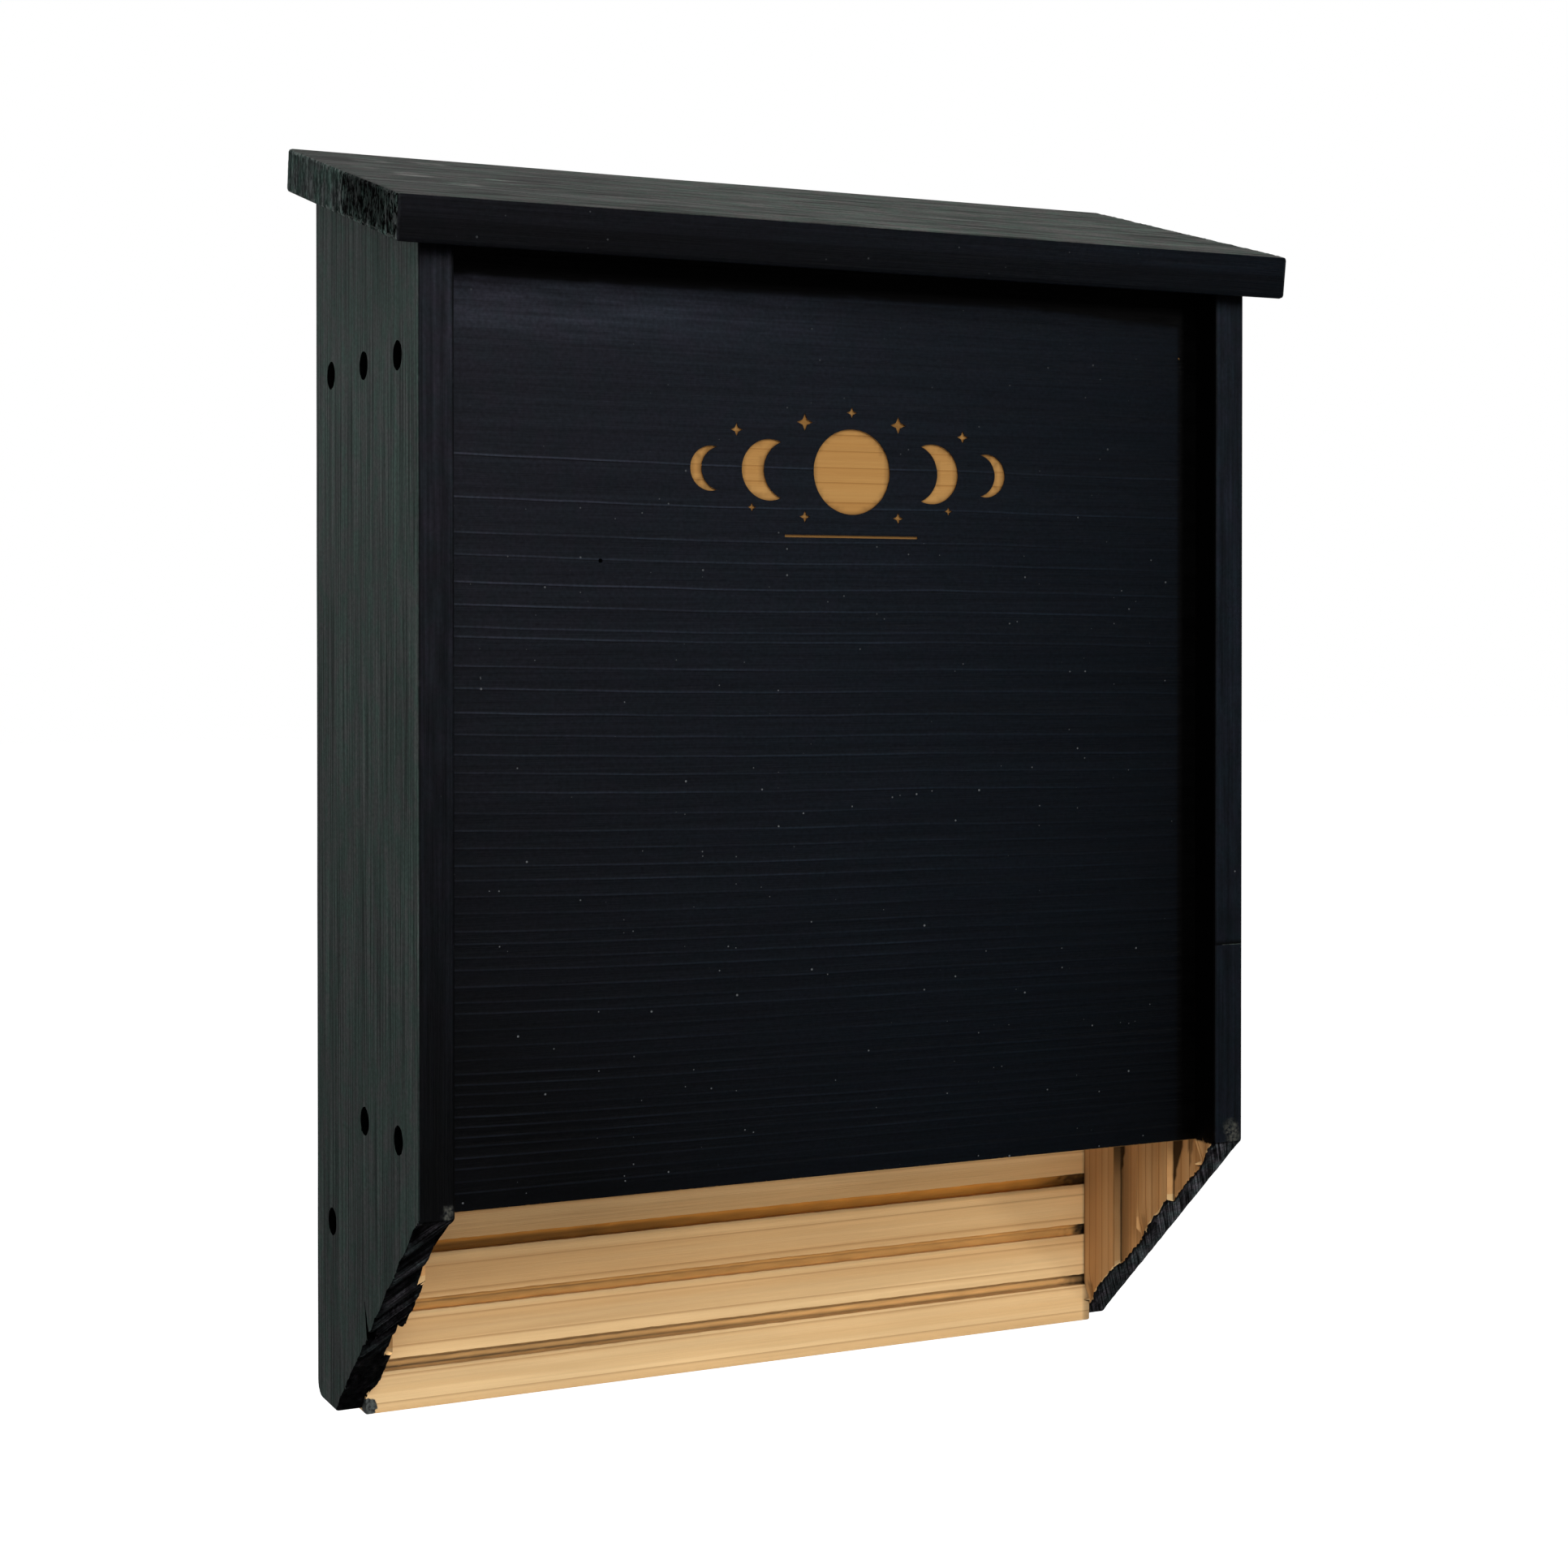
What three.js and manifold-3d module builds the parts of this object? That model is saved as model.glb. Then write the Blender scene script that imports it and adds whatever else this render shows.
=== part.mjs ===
// Two-chamber wooden bat box that hangs on a wall.
// Millimetres. X runs along the wall, Y points into the wall, Z is up.
// The origin is on the wall plane, where the keyhole slot hangs on its screw.
import * as THREE from 'three';
import { mergeVertices } from 'three/addons/utils/BufferGeometryUtils.js';
import Module from 'manifold-3d';

const wasm = await Module();
wasm.setup();

// Outside of the box
const boxWidth = 330.2;
const sideThickness = 12.7;
const sideBackHeight = 448;
const sideFlatLength = 25.4;
const sideCutHeight = 88.9;
const heelRadius = 6;
const easedEdge = 0.8;
const cornerRadius = 1.5;

// Depths, from the wall forwards
const wallRecess = 11;
const backThickness = 19;
const rearChamber = 23.5;
const baffleThickness = 16;
const frontChamber = 22;
const frontThickness = 19;
const frontRecess = 13.3;

// Lower ends of the cross boards
const backDrop = 1.4;
const panelDrop = 0.9;

// Roof board
const roofSlope = THREE.MathUtils.degToRad(15);
const roofEndTilt = THREE.MathUtils.degToRad(7.5);
const roofThickness = 15.9;
const roofLength = 139.7;
const roofSideOverhang = 11.1;

// Joints between boards
const dadoDepth = 3.2;
const fitGap = 0.2;

// Climbing grooves across the roosting faces
const grooveWidth = 4.5;
const grooveDepth = 2.5;
const groovePitch = 20.9;
const firstGrooveHeight = 15.9;

// Screws through the side boards
const screwLength = 38;
const screwShankRadius = 2.1;
const screwTipLength = 7;
const screwTipRadius = 0.3;
const screwHeadRadius = 4.2;
const screwHeadHeight = 2.6;
const screwHeadRim = 1;
const driveWidth = 1.1;
const driveSpan = 4.4;
const driveDepth = 1.6;
const counterboreRadius = 5.1;
const counterboreDepth = 5.6;
const topScrewDrop = 36;
const lowScrewRise = 24.4;
const backScrewRise = 70.1;

// Finish nails through the roof board
const nailLength = 45;
const nailShankRadius = 1.25;
const nailTipLength = 3;
const nailTipRadius = 0.2;
const nailHeadRadius = 2.1;
const nailHeadHeight = 1.8;
const nailSetDepth = 0.6;
const frontNailSpacingShare = 0.5;

// Keyhole slot in the rear of the back board
const hangDrop = 53;
const keyholeNeckWidth = 5.6;
const keyholeHeadRadius = 5.6;
const keyholeLipThickness = 3.5;
const keyholeDepth = 9;
const keyholeRun = 15;

// Facets and overrun of the cutters
const roundFacets = 24;
const shankFacets = 16;
const cutOverrun = 2;

// Places that follow from the sizes above
const sideDepth = wallRecess + backThickness + rearChamber + baffleThickness
  + frontChamber + frontThickness + frontRecess;
const halfWidth = boxWidth / 2;
const innerHalfWidth = halfWidth - sideThickness;
const panelHalfWidth = innerHalfWidth + dadoDepth - fitGap;
const backRear = -wallRecess;
const backFront = backRear - backThickness;
const baffleRear = backFront - rearChamber;
const baffleFront = baffleRear - baffleThickness;
const frontRear = baffleFront - frontChamber;
const frontFace = frontRear - frontThickness;
const panelBottom = sideCutHeight - panelDrop;
const hangHeight = sideBackHeight - hangDrop;
const sides = [-1, 1];

// Height of the side boards' slanted top at a depth y
function sideTop(y) {
  return sideBackHeight + y * Math.tan(roofSlope);
}

const topScrewHeight = sideTop(-sideDepth) - topScrewDrop;

const crossBoards = [
  {
    name: 'back', rear: backRear, front: backFront,
    lowScrewHeight: backScrewRise - backDrop,
  },
  {
    name: 'middle', rear: baffleRear, front: baffleFront,
    lowScrewHeight: panelBottom + lowScrewRise,
  },
  {
    name: 'front', rear: frontRear, front: frontFace,
    lowScrewHeight: panelBottom + lowScrewRise,
  },
];

// Materials
const blackPaint = new THREE.MeshStandardMaterial({ color: 0x2b3030, roughness: 0.75, metalness: 0 });
const bareWood = new THREE.MeshStandardMaterial({ color: 0xc79c66, roughness: 0.85, metalness: 0 });
const darkSteel = new THREE.MeshStandardMaterial({ color: 0x4a4a4c, roughness: 0.45, metalness: 0.9 });

// Solids from three.js geometries, and back again
function toSolid(geometry) {
  const bare = geometry.index ? geometry.toNonIndexed() : geometry.clone();
  bare.deleteAttribute('normal');
  bare.deleteAttribute('uv');
  const merged = mergeVertices(bare);
  const mesh = new wasm.Mesh({
    numProp: 3,
    vertProperties: Float32Array.from(merged.attributes.position.array),
    triVerts: Uint32Array.from(merged.index.array),
  });
  return new wasm.Manifold(mesh);
}

function toGeometry(solid) {
  const mesh = solid.getMesh();
  const geometry = new THREE.BufferGeometry();
  geometry.setAttribute('position', new THREE.BufferAttribute(mesh.vertProperties, 3));
  geometry.setIndex(new THREE.BufferAttribute(mesh.triVerts, 1));
  geometry.computeVertexNormals();
  return geometry;
}

function cutAway(geometry, cutters) {
  let solid = toSolid(geometry);
  for (const cutter of cutters) {
    solid = solid.subtract(toSolid(cutter));
  }
  return toGeometry(solid);
}

// Outline of straight edges whose corners are rounded; corners are [y, z, radius]
function roundedShape(corners) {
  const shape = new THREE.Shape();
  corners.forEach(([y, z, radius], index) => {
    const corner = new THREE.Vector2(y, z);
    const before = corners[(index + corners.length - 1) % corners.length];
    const after = corners[(index + 1) % corners.length];
    const inward = new THREE.Vector2(before[0], before[1]).sub(corner).setLength(radius).add(corner);
    const outward = new THREE.Vector2(after[0], after[1]).sub(corner).setLength(radius).add(corner);
    if (index === 0) {
      shape.moveTo(inward.x, inward.y);
    } else {
      shape.lineTo(inward.x, inward.y);
    }
    shape.quadraticCurveTo(corner.x, corner.y, outward.x, outward.y);
  });
  shape.closePath();
  return shape;
}

// Extrudes a YZ outline along X, centred on X, with its end edges eased
function extrudeAlongX(shape, width, ease) {
  const geometry = new THREE.ExtrudeGeometry(shape, {
    depth: width - 2 * ease,
    bevelEnabled: ease > 0,
    bevelThickness: ease,
    bevelSize: ease,
    bevelOffset: -ease,
    bevelSegments: 1,
    curveSegments: 3,
  });
  geometry.translate(0, 0, ease - width / 2);
  const axes = new THREE.Matrix4().makeBasis(
    new THREE.Vector3(0, 1, 0),
    new THREE.Vector3(0, 0, 1),
    new THREE.Vector3(1, 0, 0),
  );
  return geometry.applyMatrix4(axes);
}

// A round cutter from one point to another along X or Z
function drillAlongX(radius, fromX, toX, y, z, facets) {
  const drill = new THREE.CylinderGeometry(radius, radius, Math.abs(toX - fromX), facets);
  drill.rotateZ(Math.PI / 2);
  return drill.translate((fromX + toX) / 2, y, z);
}

function drillAlongZ(radius, x, y, fromZ, toZ, facets) {
  const drill = new THREE.CylinderGeometry(radius, radius, Math.abs(toZ - fromZ), facets);
  drill.rotateX(Math.PI / 2);
  return drill.translate(x, y, (fromZ + toZ) / 2);
}

// Screw and nail places
function screwPlaces() {
  const places = [];
  for (const board of crossBoards) {
    const y = (board.rear + board.front) / 2;
    places.push({ name: `${board.name}_top`, y, z: topScrewHeight });
    places.push({ name: `${board.name}_low`, y, z: board.lowScrewHeight });
  }
  return places;
}

function nailPlaces() {
  const places = [];
  const sideNailX = halfWidth - sideThickness / 2;
  const frontNailX = innerHalfWidth * frontNailSpacingShare;
  for (const side of sides) {
    places.push({ x: side * sideNailX, y: (backFront + baffleRear) / 2 });
    places.push({ x: side * sideNailX, y: (baffleFront + frontRear) / 2 });
    places.push({ x: side * frontNailX, y: (frontRear + frontFace) / 2 });
  }
  return places;
}

// Height of the roof's top face at a depth y
function roofTop(y) {
  return sideTop(y) + fitGap + roofThickness / Math.cos(roofSlope);
}

function nailHeadTop(y) {
  return roofTop(y) - nailHeadRadius * Math.tan(roofSlope) - nailSetDepth;
}

function nailHole(place) {
  const headTop = nailHeadTop(place.y);
  return drillAlongZ(
    nailShankRadius + fitGap,
    place.x,
    place.y,
    headTop - nailLength - fitGap,
    headTop,
    shankFacets,
  );
}

// Side boards
function sideBoardOutline() {
  return roundedShape([
    [0, 0, heelRadius],
    [0, sideTop(0), cornerRadius],
    [-sideDepth, sideTop(-sideDepth), cornerRadius],
    [-sideDepth, sideCutHeight, cornerRadius],
    [-sideFlatLength, 0, cornerRadius],
  ]);
}

function dadoCutter(board, side) {
  const width = board.rear - board.front + 2 * fitGap;
  const height = sideBackHeight + 2 * cutOverrun;
  const slot = new THREE.BoxGeometry(dadoDepth + cutOverrun, width, height);
  const x = side * (innerHalfWidth + (dadoDepth - cutOverrun) / 2);
  return slot.translate(x, (board.rear + board.front) / 2, sideBackHeight / 2);
}

function sideBoard(side) {
  const outline = sideBoardOutline();
  const blank = extrudeAlongX(outline, sideThickness, easedEdge);
  blank.translate(side * (halfWidth - sideThickness / 2), 0, 0);
  const cutters = crossBoards.map((board) => dadoCutter(board, side));
  for (const { y, z } of screwPlaces()) {
    const outside = side * (halfWidth + cutOverrun);
    const seat = side * (halfWidth - counterboreDepth);
    const inside = side * (innerHalfWidth - cutOverrun);
    cutters.push(drillAlongX(counterboreRadius, outside, seat, y, z, roundFacets));
    cutters.push(drillAlongX(screwShankRadius + fitGap, outside, inside, y, z, shankFacets));
  }
  for (const place of nailPlaces()) {
    if (place.x * side > innerHalfWidth) {
      cutters.push(nailHole(place));
    }
  }
  return cutAway(blank, cutters);
}

// Cross boards, with grooves across the faces that bats climb
function grooveHeights(bottom, top) {
  const heights = [];
  const margin = groovePitch / 2;
  const highest = top - margin;
  for (let z = firstGrooveHeight; z < highest; z += groovePitch) {
    if (z > bottom + margin) {
      heights.push(z);
    }
  }
  return heights;
}

function crossBoardOutline(board, bottom, groovedRear, groovedFront) {
  const topRear = sideTop(board.rear) - fitGap;
  const topFront = sideTop(board.front) - fitGap;
  const halfGroove = grooveWidth / 2;
  const shape = new THREE.Shape();
  shape.moveTo(board.rear - easedEdge, bottom);
  shape.lineTo(board.rear, bottom + easedEdge);
  if (groovedRear) {
    for (const z of grooveHeights(bottom, topRear)) {
      shape.lineTo(board.rear, z - halfGroove);
      shape.lineTo(board.rear - grooveDepth, z - halfGroove);
      shape.lineTo(board.rear - grooveDepth, z + halfGroove);
      shape.lineTo(board.rear, z + halfGroove);
    }
  }
  shape.lineTo(board.rear, topRear);
  shape.lineTo(board.front, topFront);
  if (groovedFront) {
    for (const z of grooveHeights(bottom, topFront).reverse()) {
      shape.lineTo(board.front, z + halfGroove);
      shape.lineTo(board.front + grooveDepth, z + halfGroove);
      shape.lineTo(board.front + grooveDepth, z - halfGroove);
      shape.lineTo(board.front, z - halfGroove);
    }
  }
  shape.lineTo(board.front, bottom + easedEdge);
  shape.lineTo(board.front + easedEdge, bottom);
  shape.closePath();
  return shape;
}

function screwPilots(board) {
  const y = (board.rear + board.front) / 2;
  const deepest = halfWidth - counterboreDepth - screwLength;
  const pilots = [];
  for (const side of sides) {
    for (const z of [topScrewHeight, board.lowScrewHeight]) {
      const mouth = side * (panelHalfWidth + cutOverrun);
      const end = side * (deepest - fitGap);
      pilots.push(drillAlongX(screwShankRadius + fitGap, mouth, end, y, z, shankFacets));
    }
  }
  return pilots;
}

function backBoard(board) {
  const outline = crossBoardOutline(board, -backDrop, false, true);
  const blank = extrudeAlongX(outline, 2 * panelHalfWidth, 0);
  return cutAway(blank, [...screwPilots(board), ...keyholeCutters(board)]);
}

function middleBaffle(board) {
  const outline = crossBoardOutline(board, panelBottom, true, true);
  const blank = extrudeAlongX(outline, 2 * panelHalfWidth, 0);
  return cutAway(blank, screwPilots(board));
}

function frontBoard(board) {
  const outline = crossBoardOutline(board, panelBottom, true, false);
  const blank = extrudeAlongX(outline, 2 * panelHalfWidth, 0);
  const nailHoles = nailPlaces().filter((place) => Math.abs(place.x) < innerHalfWidth).map(nailHole);
  return cutAway(blank, [...screwPilots(board), ...nailHoles]);
}

// Keyhole slot, with a round entry below and a narrow neck that ends at the hanging height
function slotPrism(halfSpan, lowZ, highZ, depth) {
  const shape = new THREE.Shape();
  shape.absarc(0, highZ, halfSpan, 0, Math.PI, false);
  shape.absarc(0, lowZ, halfSpan, Math.PI, 2 * Math.PI, false);
  shape.closePath();
  const prism = new THREE.ExtrudeGeometry(shape, {
    depth,
    bevelEnabled: false,
    curveSegments: shankFacets / 2,
  });
  return prism.rotateX(Math.PI / 2);
}

function keyholeCutters(board) {
  const neckTop = hangHeight - keyholeNeckWidth / 2;
  const entry = neckTop - keyholeRun;
  const neck = slotPrism(keyholeNeckWidth / 2, entry, neckTop, keyholeDepth + cutOverrun);
  const channel = slotPrism(keyholeHeadRadius, entry, neckTop, keyholeDepth - keyholeLipThickness);
  const mouth = new THREE.CylinderGeometry(
    keyholeHeadRadius,
    keyholeHeadRadius,
    keyholeDepth + cutOverrun,
    roundFacets,
  );
  neck.translate(0, board.rear + cutOverrun, 0);
  channel.translate(0, board.rear - keyholeLipThickness, 0);
  mouth.translate(0, board.rear + (cutOverrun - keyholeDepth) / 2, entry);
  return [neck, channel, mouth];
}

// Roof board
function roofOutline() {
  const slopeForward = new THREE.Vector2(-Math.cos(roofSlope), -Math.sin(roofSlope));
  const endLength = roofThickness / Math.cos(roofSlope - roofEndTilt);
  const endUp = new THREE.Vector2(-Math.sin(roofEndTilt), Math.cos(roofEndTilt));
  const lowBack = new THREE.Vector2(0, sideTop(0) + fitGap);
  const highBack = lowBack.clone().addScaledVector(endUp, endLength);
  const lowFront = lowBack.clone().addScaledVector(slopeForward, roofLength);
  const highFront = highBack.clone().addScaledVector(slopeForward, roofLength);
  const corners = [lowBack, highBack, highFront, lowFront];
  return roundedShape(corners.map((corner) => [corner.x, corner.y, cornerRadius]));
}

function roofBoard() {
  const blank = extrudeAlongX(roofOutline(), boxWidth + 2 * roofSideOverhang, easedEdge);
  const cutters = [];
  for (const place of nailPlaces()) {
    const headTop = nailHeadTop(place.y);
    const headSeat = headTop - nailHeadHeight - fitGap;
    const above = roofTop(place.y) + cutOverrun;
    cutters.push(nailHole(place));
    cutters.push(drillAlongZ(nailHeadRadius + fitGap, place.x, place.y, headSeat, above, shankFacets));
  }
  return cutAway(blank, cutters);
}

// Screw along Z with its head's seat at zero and its point below
function screw() {
  const shankEnd = screwTipLength - screwLength;
  const outline = [
    new THREE.Vector2(0, -screwLength),
    new THREE.Vector2(screwTipRadius, -screwLength),
    new THREE.Vector2(screwShankRadius, shankEnd),
    new THREE.Vector2(screwShankRadius, 0),
    new THREE.Vector2(screwHeadRadius, 0),
    new THREE.Vector2(screwHeadRadius, screwHeadRim),
    new THREE.Vector2((screwHeadRadius + driveSpan / 2) / 2, screwHeadHeight),
    new THREE.Vector2(0, screwHeadHeight),
  ];
  const body = new THREE.LatheGeometry(outline, shankFacets);
  const driveHeight = driveDepth + cutOverrun;
  const driveMiddle = screwHeadHeight - driveDepth + driveHeight / 2;
  const slots = [
    new THREE.BoxGeometry(driveSpan, driveHeight, driveWidth).translate(0, driveMiddle, 0),
    new THREE.BoxGeometry(driveWidth, driveHeight, driveSpan).translate(0, driveMiddle, 0),
  ];
  return cutAway(body, slots);
}

function placedScrew(side, place) {
  const mesh = new THREE.Mesh(screw(), darkSteel);
  const sideName = side < 0 ? 'left' : 'right';
  mesh.name = `screw_${sideName}_${place.name}`;
  const seat = halfWidth - counterboreDepth + fitGap;
  mesh.position.set(side * seat, place.y, place.z);
  mesh.rotation.z = -side * Math.PI / 2;
  return mesh;
}

// Finish nail along Z with the top of its head at zero
function nail() {
  const outline = [
    new THREE.Vector2(0, -nailLength),
    new THREE.Vector2(nailTipRadius, -nailLength),
    new THREE.Vector2(nailShankRadius, nailTipLength - nailLength),
    new THREE.Vector2(nailShankRadius, -nailHeadHeight),
    new THREE.Vector2(nailHeadRadius, -nailHeadHeight),
    new THREE.Vector2(nailHeadRadius, 0),
    new THREE.Vector2(0, 0),
  ];
  return new THREE.LatheGeometry(outline, shankFacets).rotateX(Math.PI / 2);
}

// Assembly, lowered so that the origin lies at the hanging point
const batBox = new THREE.Group();
batBox.position.z = -hangHeight;

function addBoard(name, geometry, material) {
  const mesh = new THREE.Mesh(geometry, material);
  mesh.name = name;
  batBox.add(mesh);
}

const [backPlace, bafflePlace, frontPlace] = crossBoards;
addBoard('left_side_board', sideBoard(-1), blackPaint);
addBoard('right_side_board', sideBoard(1), blackPaint);
addBoard('back_board', backBoard(backPlace), bareWood);
addBoard('middle_baffle', middleBaffle(bafflePlace), bareWood);
addBoard('front_board', frontBoard(frontPlace), blackPaint);
addBoard('roof_board', roofBoard(), blackPaint);

for (const side of sides) {
  for (const place of screwPlaces()) {
    batBox.add(placedScrew(side, place));
  }
}

nailPlaces().forEach((place, index) => {
  const mesh = new THREE.Mesh(nail(), darkSteel);
  mesh.name = `roof_nail_${index + 1}`;
  mesh.position.set(place.x, place.y, nailHeadTop(place.y));
  batBox.add(mesh);
});

export default batBox;
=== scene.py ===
import math
import random
from bisect import bisect_left

import bpy
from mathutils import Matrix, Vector, kdtree, noise


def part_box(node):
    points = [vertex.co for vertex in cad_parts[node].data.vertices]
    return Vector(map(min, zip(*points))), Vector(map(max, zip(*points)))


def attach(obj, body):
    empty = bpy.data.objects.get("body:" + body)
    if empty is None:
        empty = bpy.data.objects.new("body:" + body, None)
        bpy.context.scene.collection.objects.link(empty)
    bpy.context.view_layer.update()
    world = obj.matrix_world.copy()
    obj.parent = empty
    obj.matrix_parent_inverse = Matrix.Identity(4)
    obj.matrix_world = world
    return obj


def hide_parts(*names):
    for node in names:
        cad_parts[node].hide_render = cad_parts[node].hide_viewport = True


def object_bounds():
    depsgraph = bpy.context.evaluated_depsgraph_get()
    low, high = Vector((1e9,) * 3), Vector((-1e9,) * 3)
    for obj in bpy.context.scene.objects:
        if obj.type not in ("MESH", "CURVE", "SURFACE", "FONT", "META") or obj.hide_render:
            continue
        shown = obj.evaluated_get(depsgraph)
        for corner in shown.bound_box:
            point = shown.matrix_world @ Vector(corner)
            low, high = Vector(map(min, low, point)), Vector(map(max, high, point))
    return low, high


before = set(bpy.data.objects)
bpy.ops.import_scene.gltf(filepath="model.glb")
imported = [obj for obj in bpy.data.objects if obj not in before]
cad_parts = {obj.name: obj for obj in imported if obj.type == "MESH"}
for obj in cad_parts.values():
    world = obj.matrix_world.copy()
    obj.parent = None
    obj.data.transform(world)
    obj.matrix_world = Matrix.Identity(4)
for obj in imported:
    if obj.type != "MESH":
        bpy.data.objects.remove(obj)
cadLow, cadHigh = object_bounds()
mm = 0.001


def wobble(x, y, z):
    return noise.noise(Vector((x, y, z)))


def clamp(value, low=0, high=1):
    return max(low, min(high, value))


def soft(value, start, end):  # 0 before start, 1 after end, smooth between
    share = clamp((value - start) / (end - start))
    return share * share * (3 - 2 * share)


def cornersOf(node):  # lowest and highest corner of a CAD node, in mm
    low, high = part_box(node)
    return [c / mm for c in low], [c / mm for c in high]


# Camera, at the photograph's place and angle
camera = {
    "place": (-435.99, -968.90, -108.80),  # mm
    "turn": 0.4471,  # radians to the right of straight at the wall
    "tilt": 0.0099,  # radians down
    "lens": 60.957,
    "shift": -0.08228,
}


def setCamera():
    data = bpy.data.cameras.new("camera")
    data.lens = camera["lens"]
    data.sensor_width = 36
    data.shift_y = camera["shift"]
    eye = bpy.data.objects.new("camera", data)
    bpy.context.scene.collection.objects.link(eye)
    turn, tilt = camera["turn"], camera["tilt"]
    ahead = Vector((math.sin(turn) * math.cos(tilt), math.cos(turn) * math.cos(tilt), -math.sin(tilt)))
    eye.location = [c * mm for c in camera["place"]]
    eye.rotation_euler = ahead.to_track_quat("-Z", "Y").to_euler()
    bpy.context.scene.camera = eye


# Lamps: a small key that throws the narrow shadows, a wide front light, a low fill and a top light
lamps = {
    "key": {"turn": 30, "rise": 14, "reach": 2.0, "width": 0.2, "power": 6},
    "front": {"turn": -8, "rise": 27, "reach": 2.4, "width": 0.9, "power": 36},
    "low": {"turn": -20, "rise": -22, "reach": 2.4, "width": 1.6, "power": 20},
    "top": {"turn": 175, "rise": 65, "reach": 2.4, "width": 1.6, "power": 20},
}


def setLamps():
    middle = (cadLow + cadHigh) / 2
    for name, lamp in lamps.items():
        data = bpy.data.lights.new(name, "AREA")
        data.size = lamp["width"]
        data.energy = lamp["power"]
        turn, rise = math.radians(lamp["turn"]), math.radians(lamp["rise"])
        away = Vector((math.sin(turn) * math.cos(rise), -math.cos(turn) * math.cos(rise), math.sin(rise)))
        light = bpy.data.objects.new(name, data)
        bpy.context.scene.collection.objects.link(light)
        light.location = middle + away * lamp["reach"]
        light.rotation_euler = (-away).to_track_quat("-Z", "Y").to_euler()


# Node helpers: inputs take a plain value or another node's socket
def addNode(tree, kind, inputs, **settings):
    made = tree.nodes.new(kind)
    for name, value in settings.items():
        setattr(made, name, value)
    for name, value in inputs.items():
        if isinstance(value, bpy.types.NodeSocket):
            tree.links.new(value, made.inputs[name])
        else:
            made.inputs[name].default_value = value
    return made


def calc(tree, operation, *values, clamped=False):
    made = addNode(tree, "ShaderNodeMath", dict(enumerate(values)), operation=operation, use_clamp=clamped)
    return made.outputs[0]


def spread(tree, value, fromLow, fromHigh, toLow, toHigh):  # maps one range on another, held at both ends
    inputs = {"Value": value, "From Min": fromLow, "From Max": fromHigh, "To Min": toLow, "To Max": toHigh}
    return addNode(tree, "ShaderNodeMapRange", inputs).outputs[0]


def blend(tree, share, first, second, mode="MIX"):
    first, second = [c if isinstance(c, bpy.types.NodeSocket) else (*c, 1) for c in (first, second)]
    inputs = {0: share, 6: first, 7: second}
    return addNode(tree, "ShaderNodeMix", inputs, data_type="RGBA", blend_type=mode).outputs[2]


def scaled(tree, vector, factor):
    return addNode(tree, "ShaderNodeVectorMath", {0: vector, "Scale": factor}, operation="SCALE").outputs[0]


def stretched(tree, vector, scale):
    return addNode(tree, "ShaderNodeMapping", {"Vector": vector, "Scale": scale}).outputs[0]


def cloudy(tree, vector, scale, detail=2, roughness=0.5):  # soft noise round 0.5
    inputs = {"Vector": vector, "Scale": scale, "Detail": detail, "Roughness": roughness}
    return addNode(tree, "ShaderNodeTexNoise", inputs).outputs["Fac"]


# World: dim for diffuse light, white where the camera sees it, and a bright rear for the paint to mirror
studio = {"ambient": 0.2, "mirrorFront": 0.12, "mirrorRear": 0.75, "floorHeight": -1.0, "floorGlow": 0.86}


def setWorld():
    world = bpy.data.worlds.new("studio")
    bpy.context.scene.world = world
    world.use_nodes = True
    tree = world.node_tree
    tree.nodes.clear()
    path = tree.nodes.new("ShaderNodeLightPath").outputs
    direction = tree.nodes.new("ShaderNodeTexCoord").outputs["Generated"]
    rear = addNode(tree, "ShaderNodeSeparateXYZ", {0: direction}).outputs["Y"]
    mirrored = spread(tree, rear, -0.3, 0.5, studio["mirrorFront"], studio["mirrorRear"])
    glow = calc(tree, "MAXIMUM", mirrored, path["Is Camera Ray"])
    sharp = calc(tree, "MAXIMUM", path["Is Camera Ray"], path["Is Glossy Ray"])
    sharp = calc(tree, "MAXIMUM", sharp, path["Is Transmission Ray"])
    dim = addNode(tree, "ShaderNodeBackground", {"Color": (1, 1, 1, 1), "Strength": studio["ambient"]})
    seen = addNode(tree, "ShaderNodeBackground", {"Color": (1, 1, 1, 1), "Strength": glow})
    mix = addNode(tree, "ShaderNodeMixShader", {0: sharp, 1: dim.outputs[0], 2: seen.outputs[0]})
    addNode(tree, "ShaderNodeOutputWorld", {"Surface": mix.outputs[0]})


def setFloor():  # pale floor far below the hanging box, white where no shadow falls
    bpy.ops.object.select_all(action="DESELECT")
    bpy.ops.mesh.primitive_plane_add(size=40, location=(0, 0, studio["floorHeight"]))
    floor = bpy.context.object
    floor.name = "studioFloor"
    material = bpy.data.materials.new("studioFloor")
    material.use_nodes = True
    tree = material.node_tree
    tree.nodes.clear()
    seen = tree.nodes.new("ShaderNodeLightPath").outputs["Is Camera Ray"]
    glow = calc(tree, "MULTIPLY", seen, studio["floorGlow"])
    lit = addNode(tree, "ShaderNodeBsdfDiffuse", {"Color": (0.8, 0.8, 0.8, 1)})
    own = addNode(tree, "ShaderNodeEmission", {"Strength": glow})
    both = addNode(tree, "ShaderNodeAddShader", {0: lit.outputs[0], 1: own.outputs[0]})
    addNode(tree, "ShaderNodeOutputMaterial", {"Surface": both.outputs[0]})
    floor.data.materials.append(material)


bpy.context.scene.view_settings.view_transform = "Standard"
setCamera()
setLamps()
setWorld()
setFloor()
print("studio set")


# Bench work: each helper does one cut or shaping step on a board
def pick(piece):
    bpy.ops.object.select_all(action="DESELECT")
    piece.select_set(True)
    bpy.context.view_layer.objects.active = piece


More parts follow.
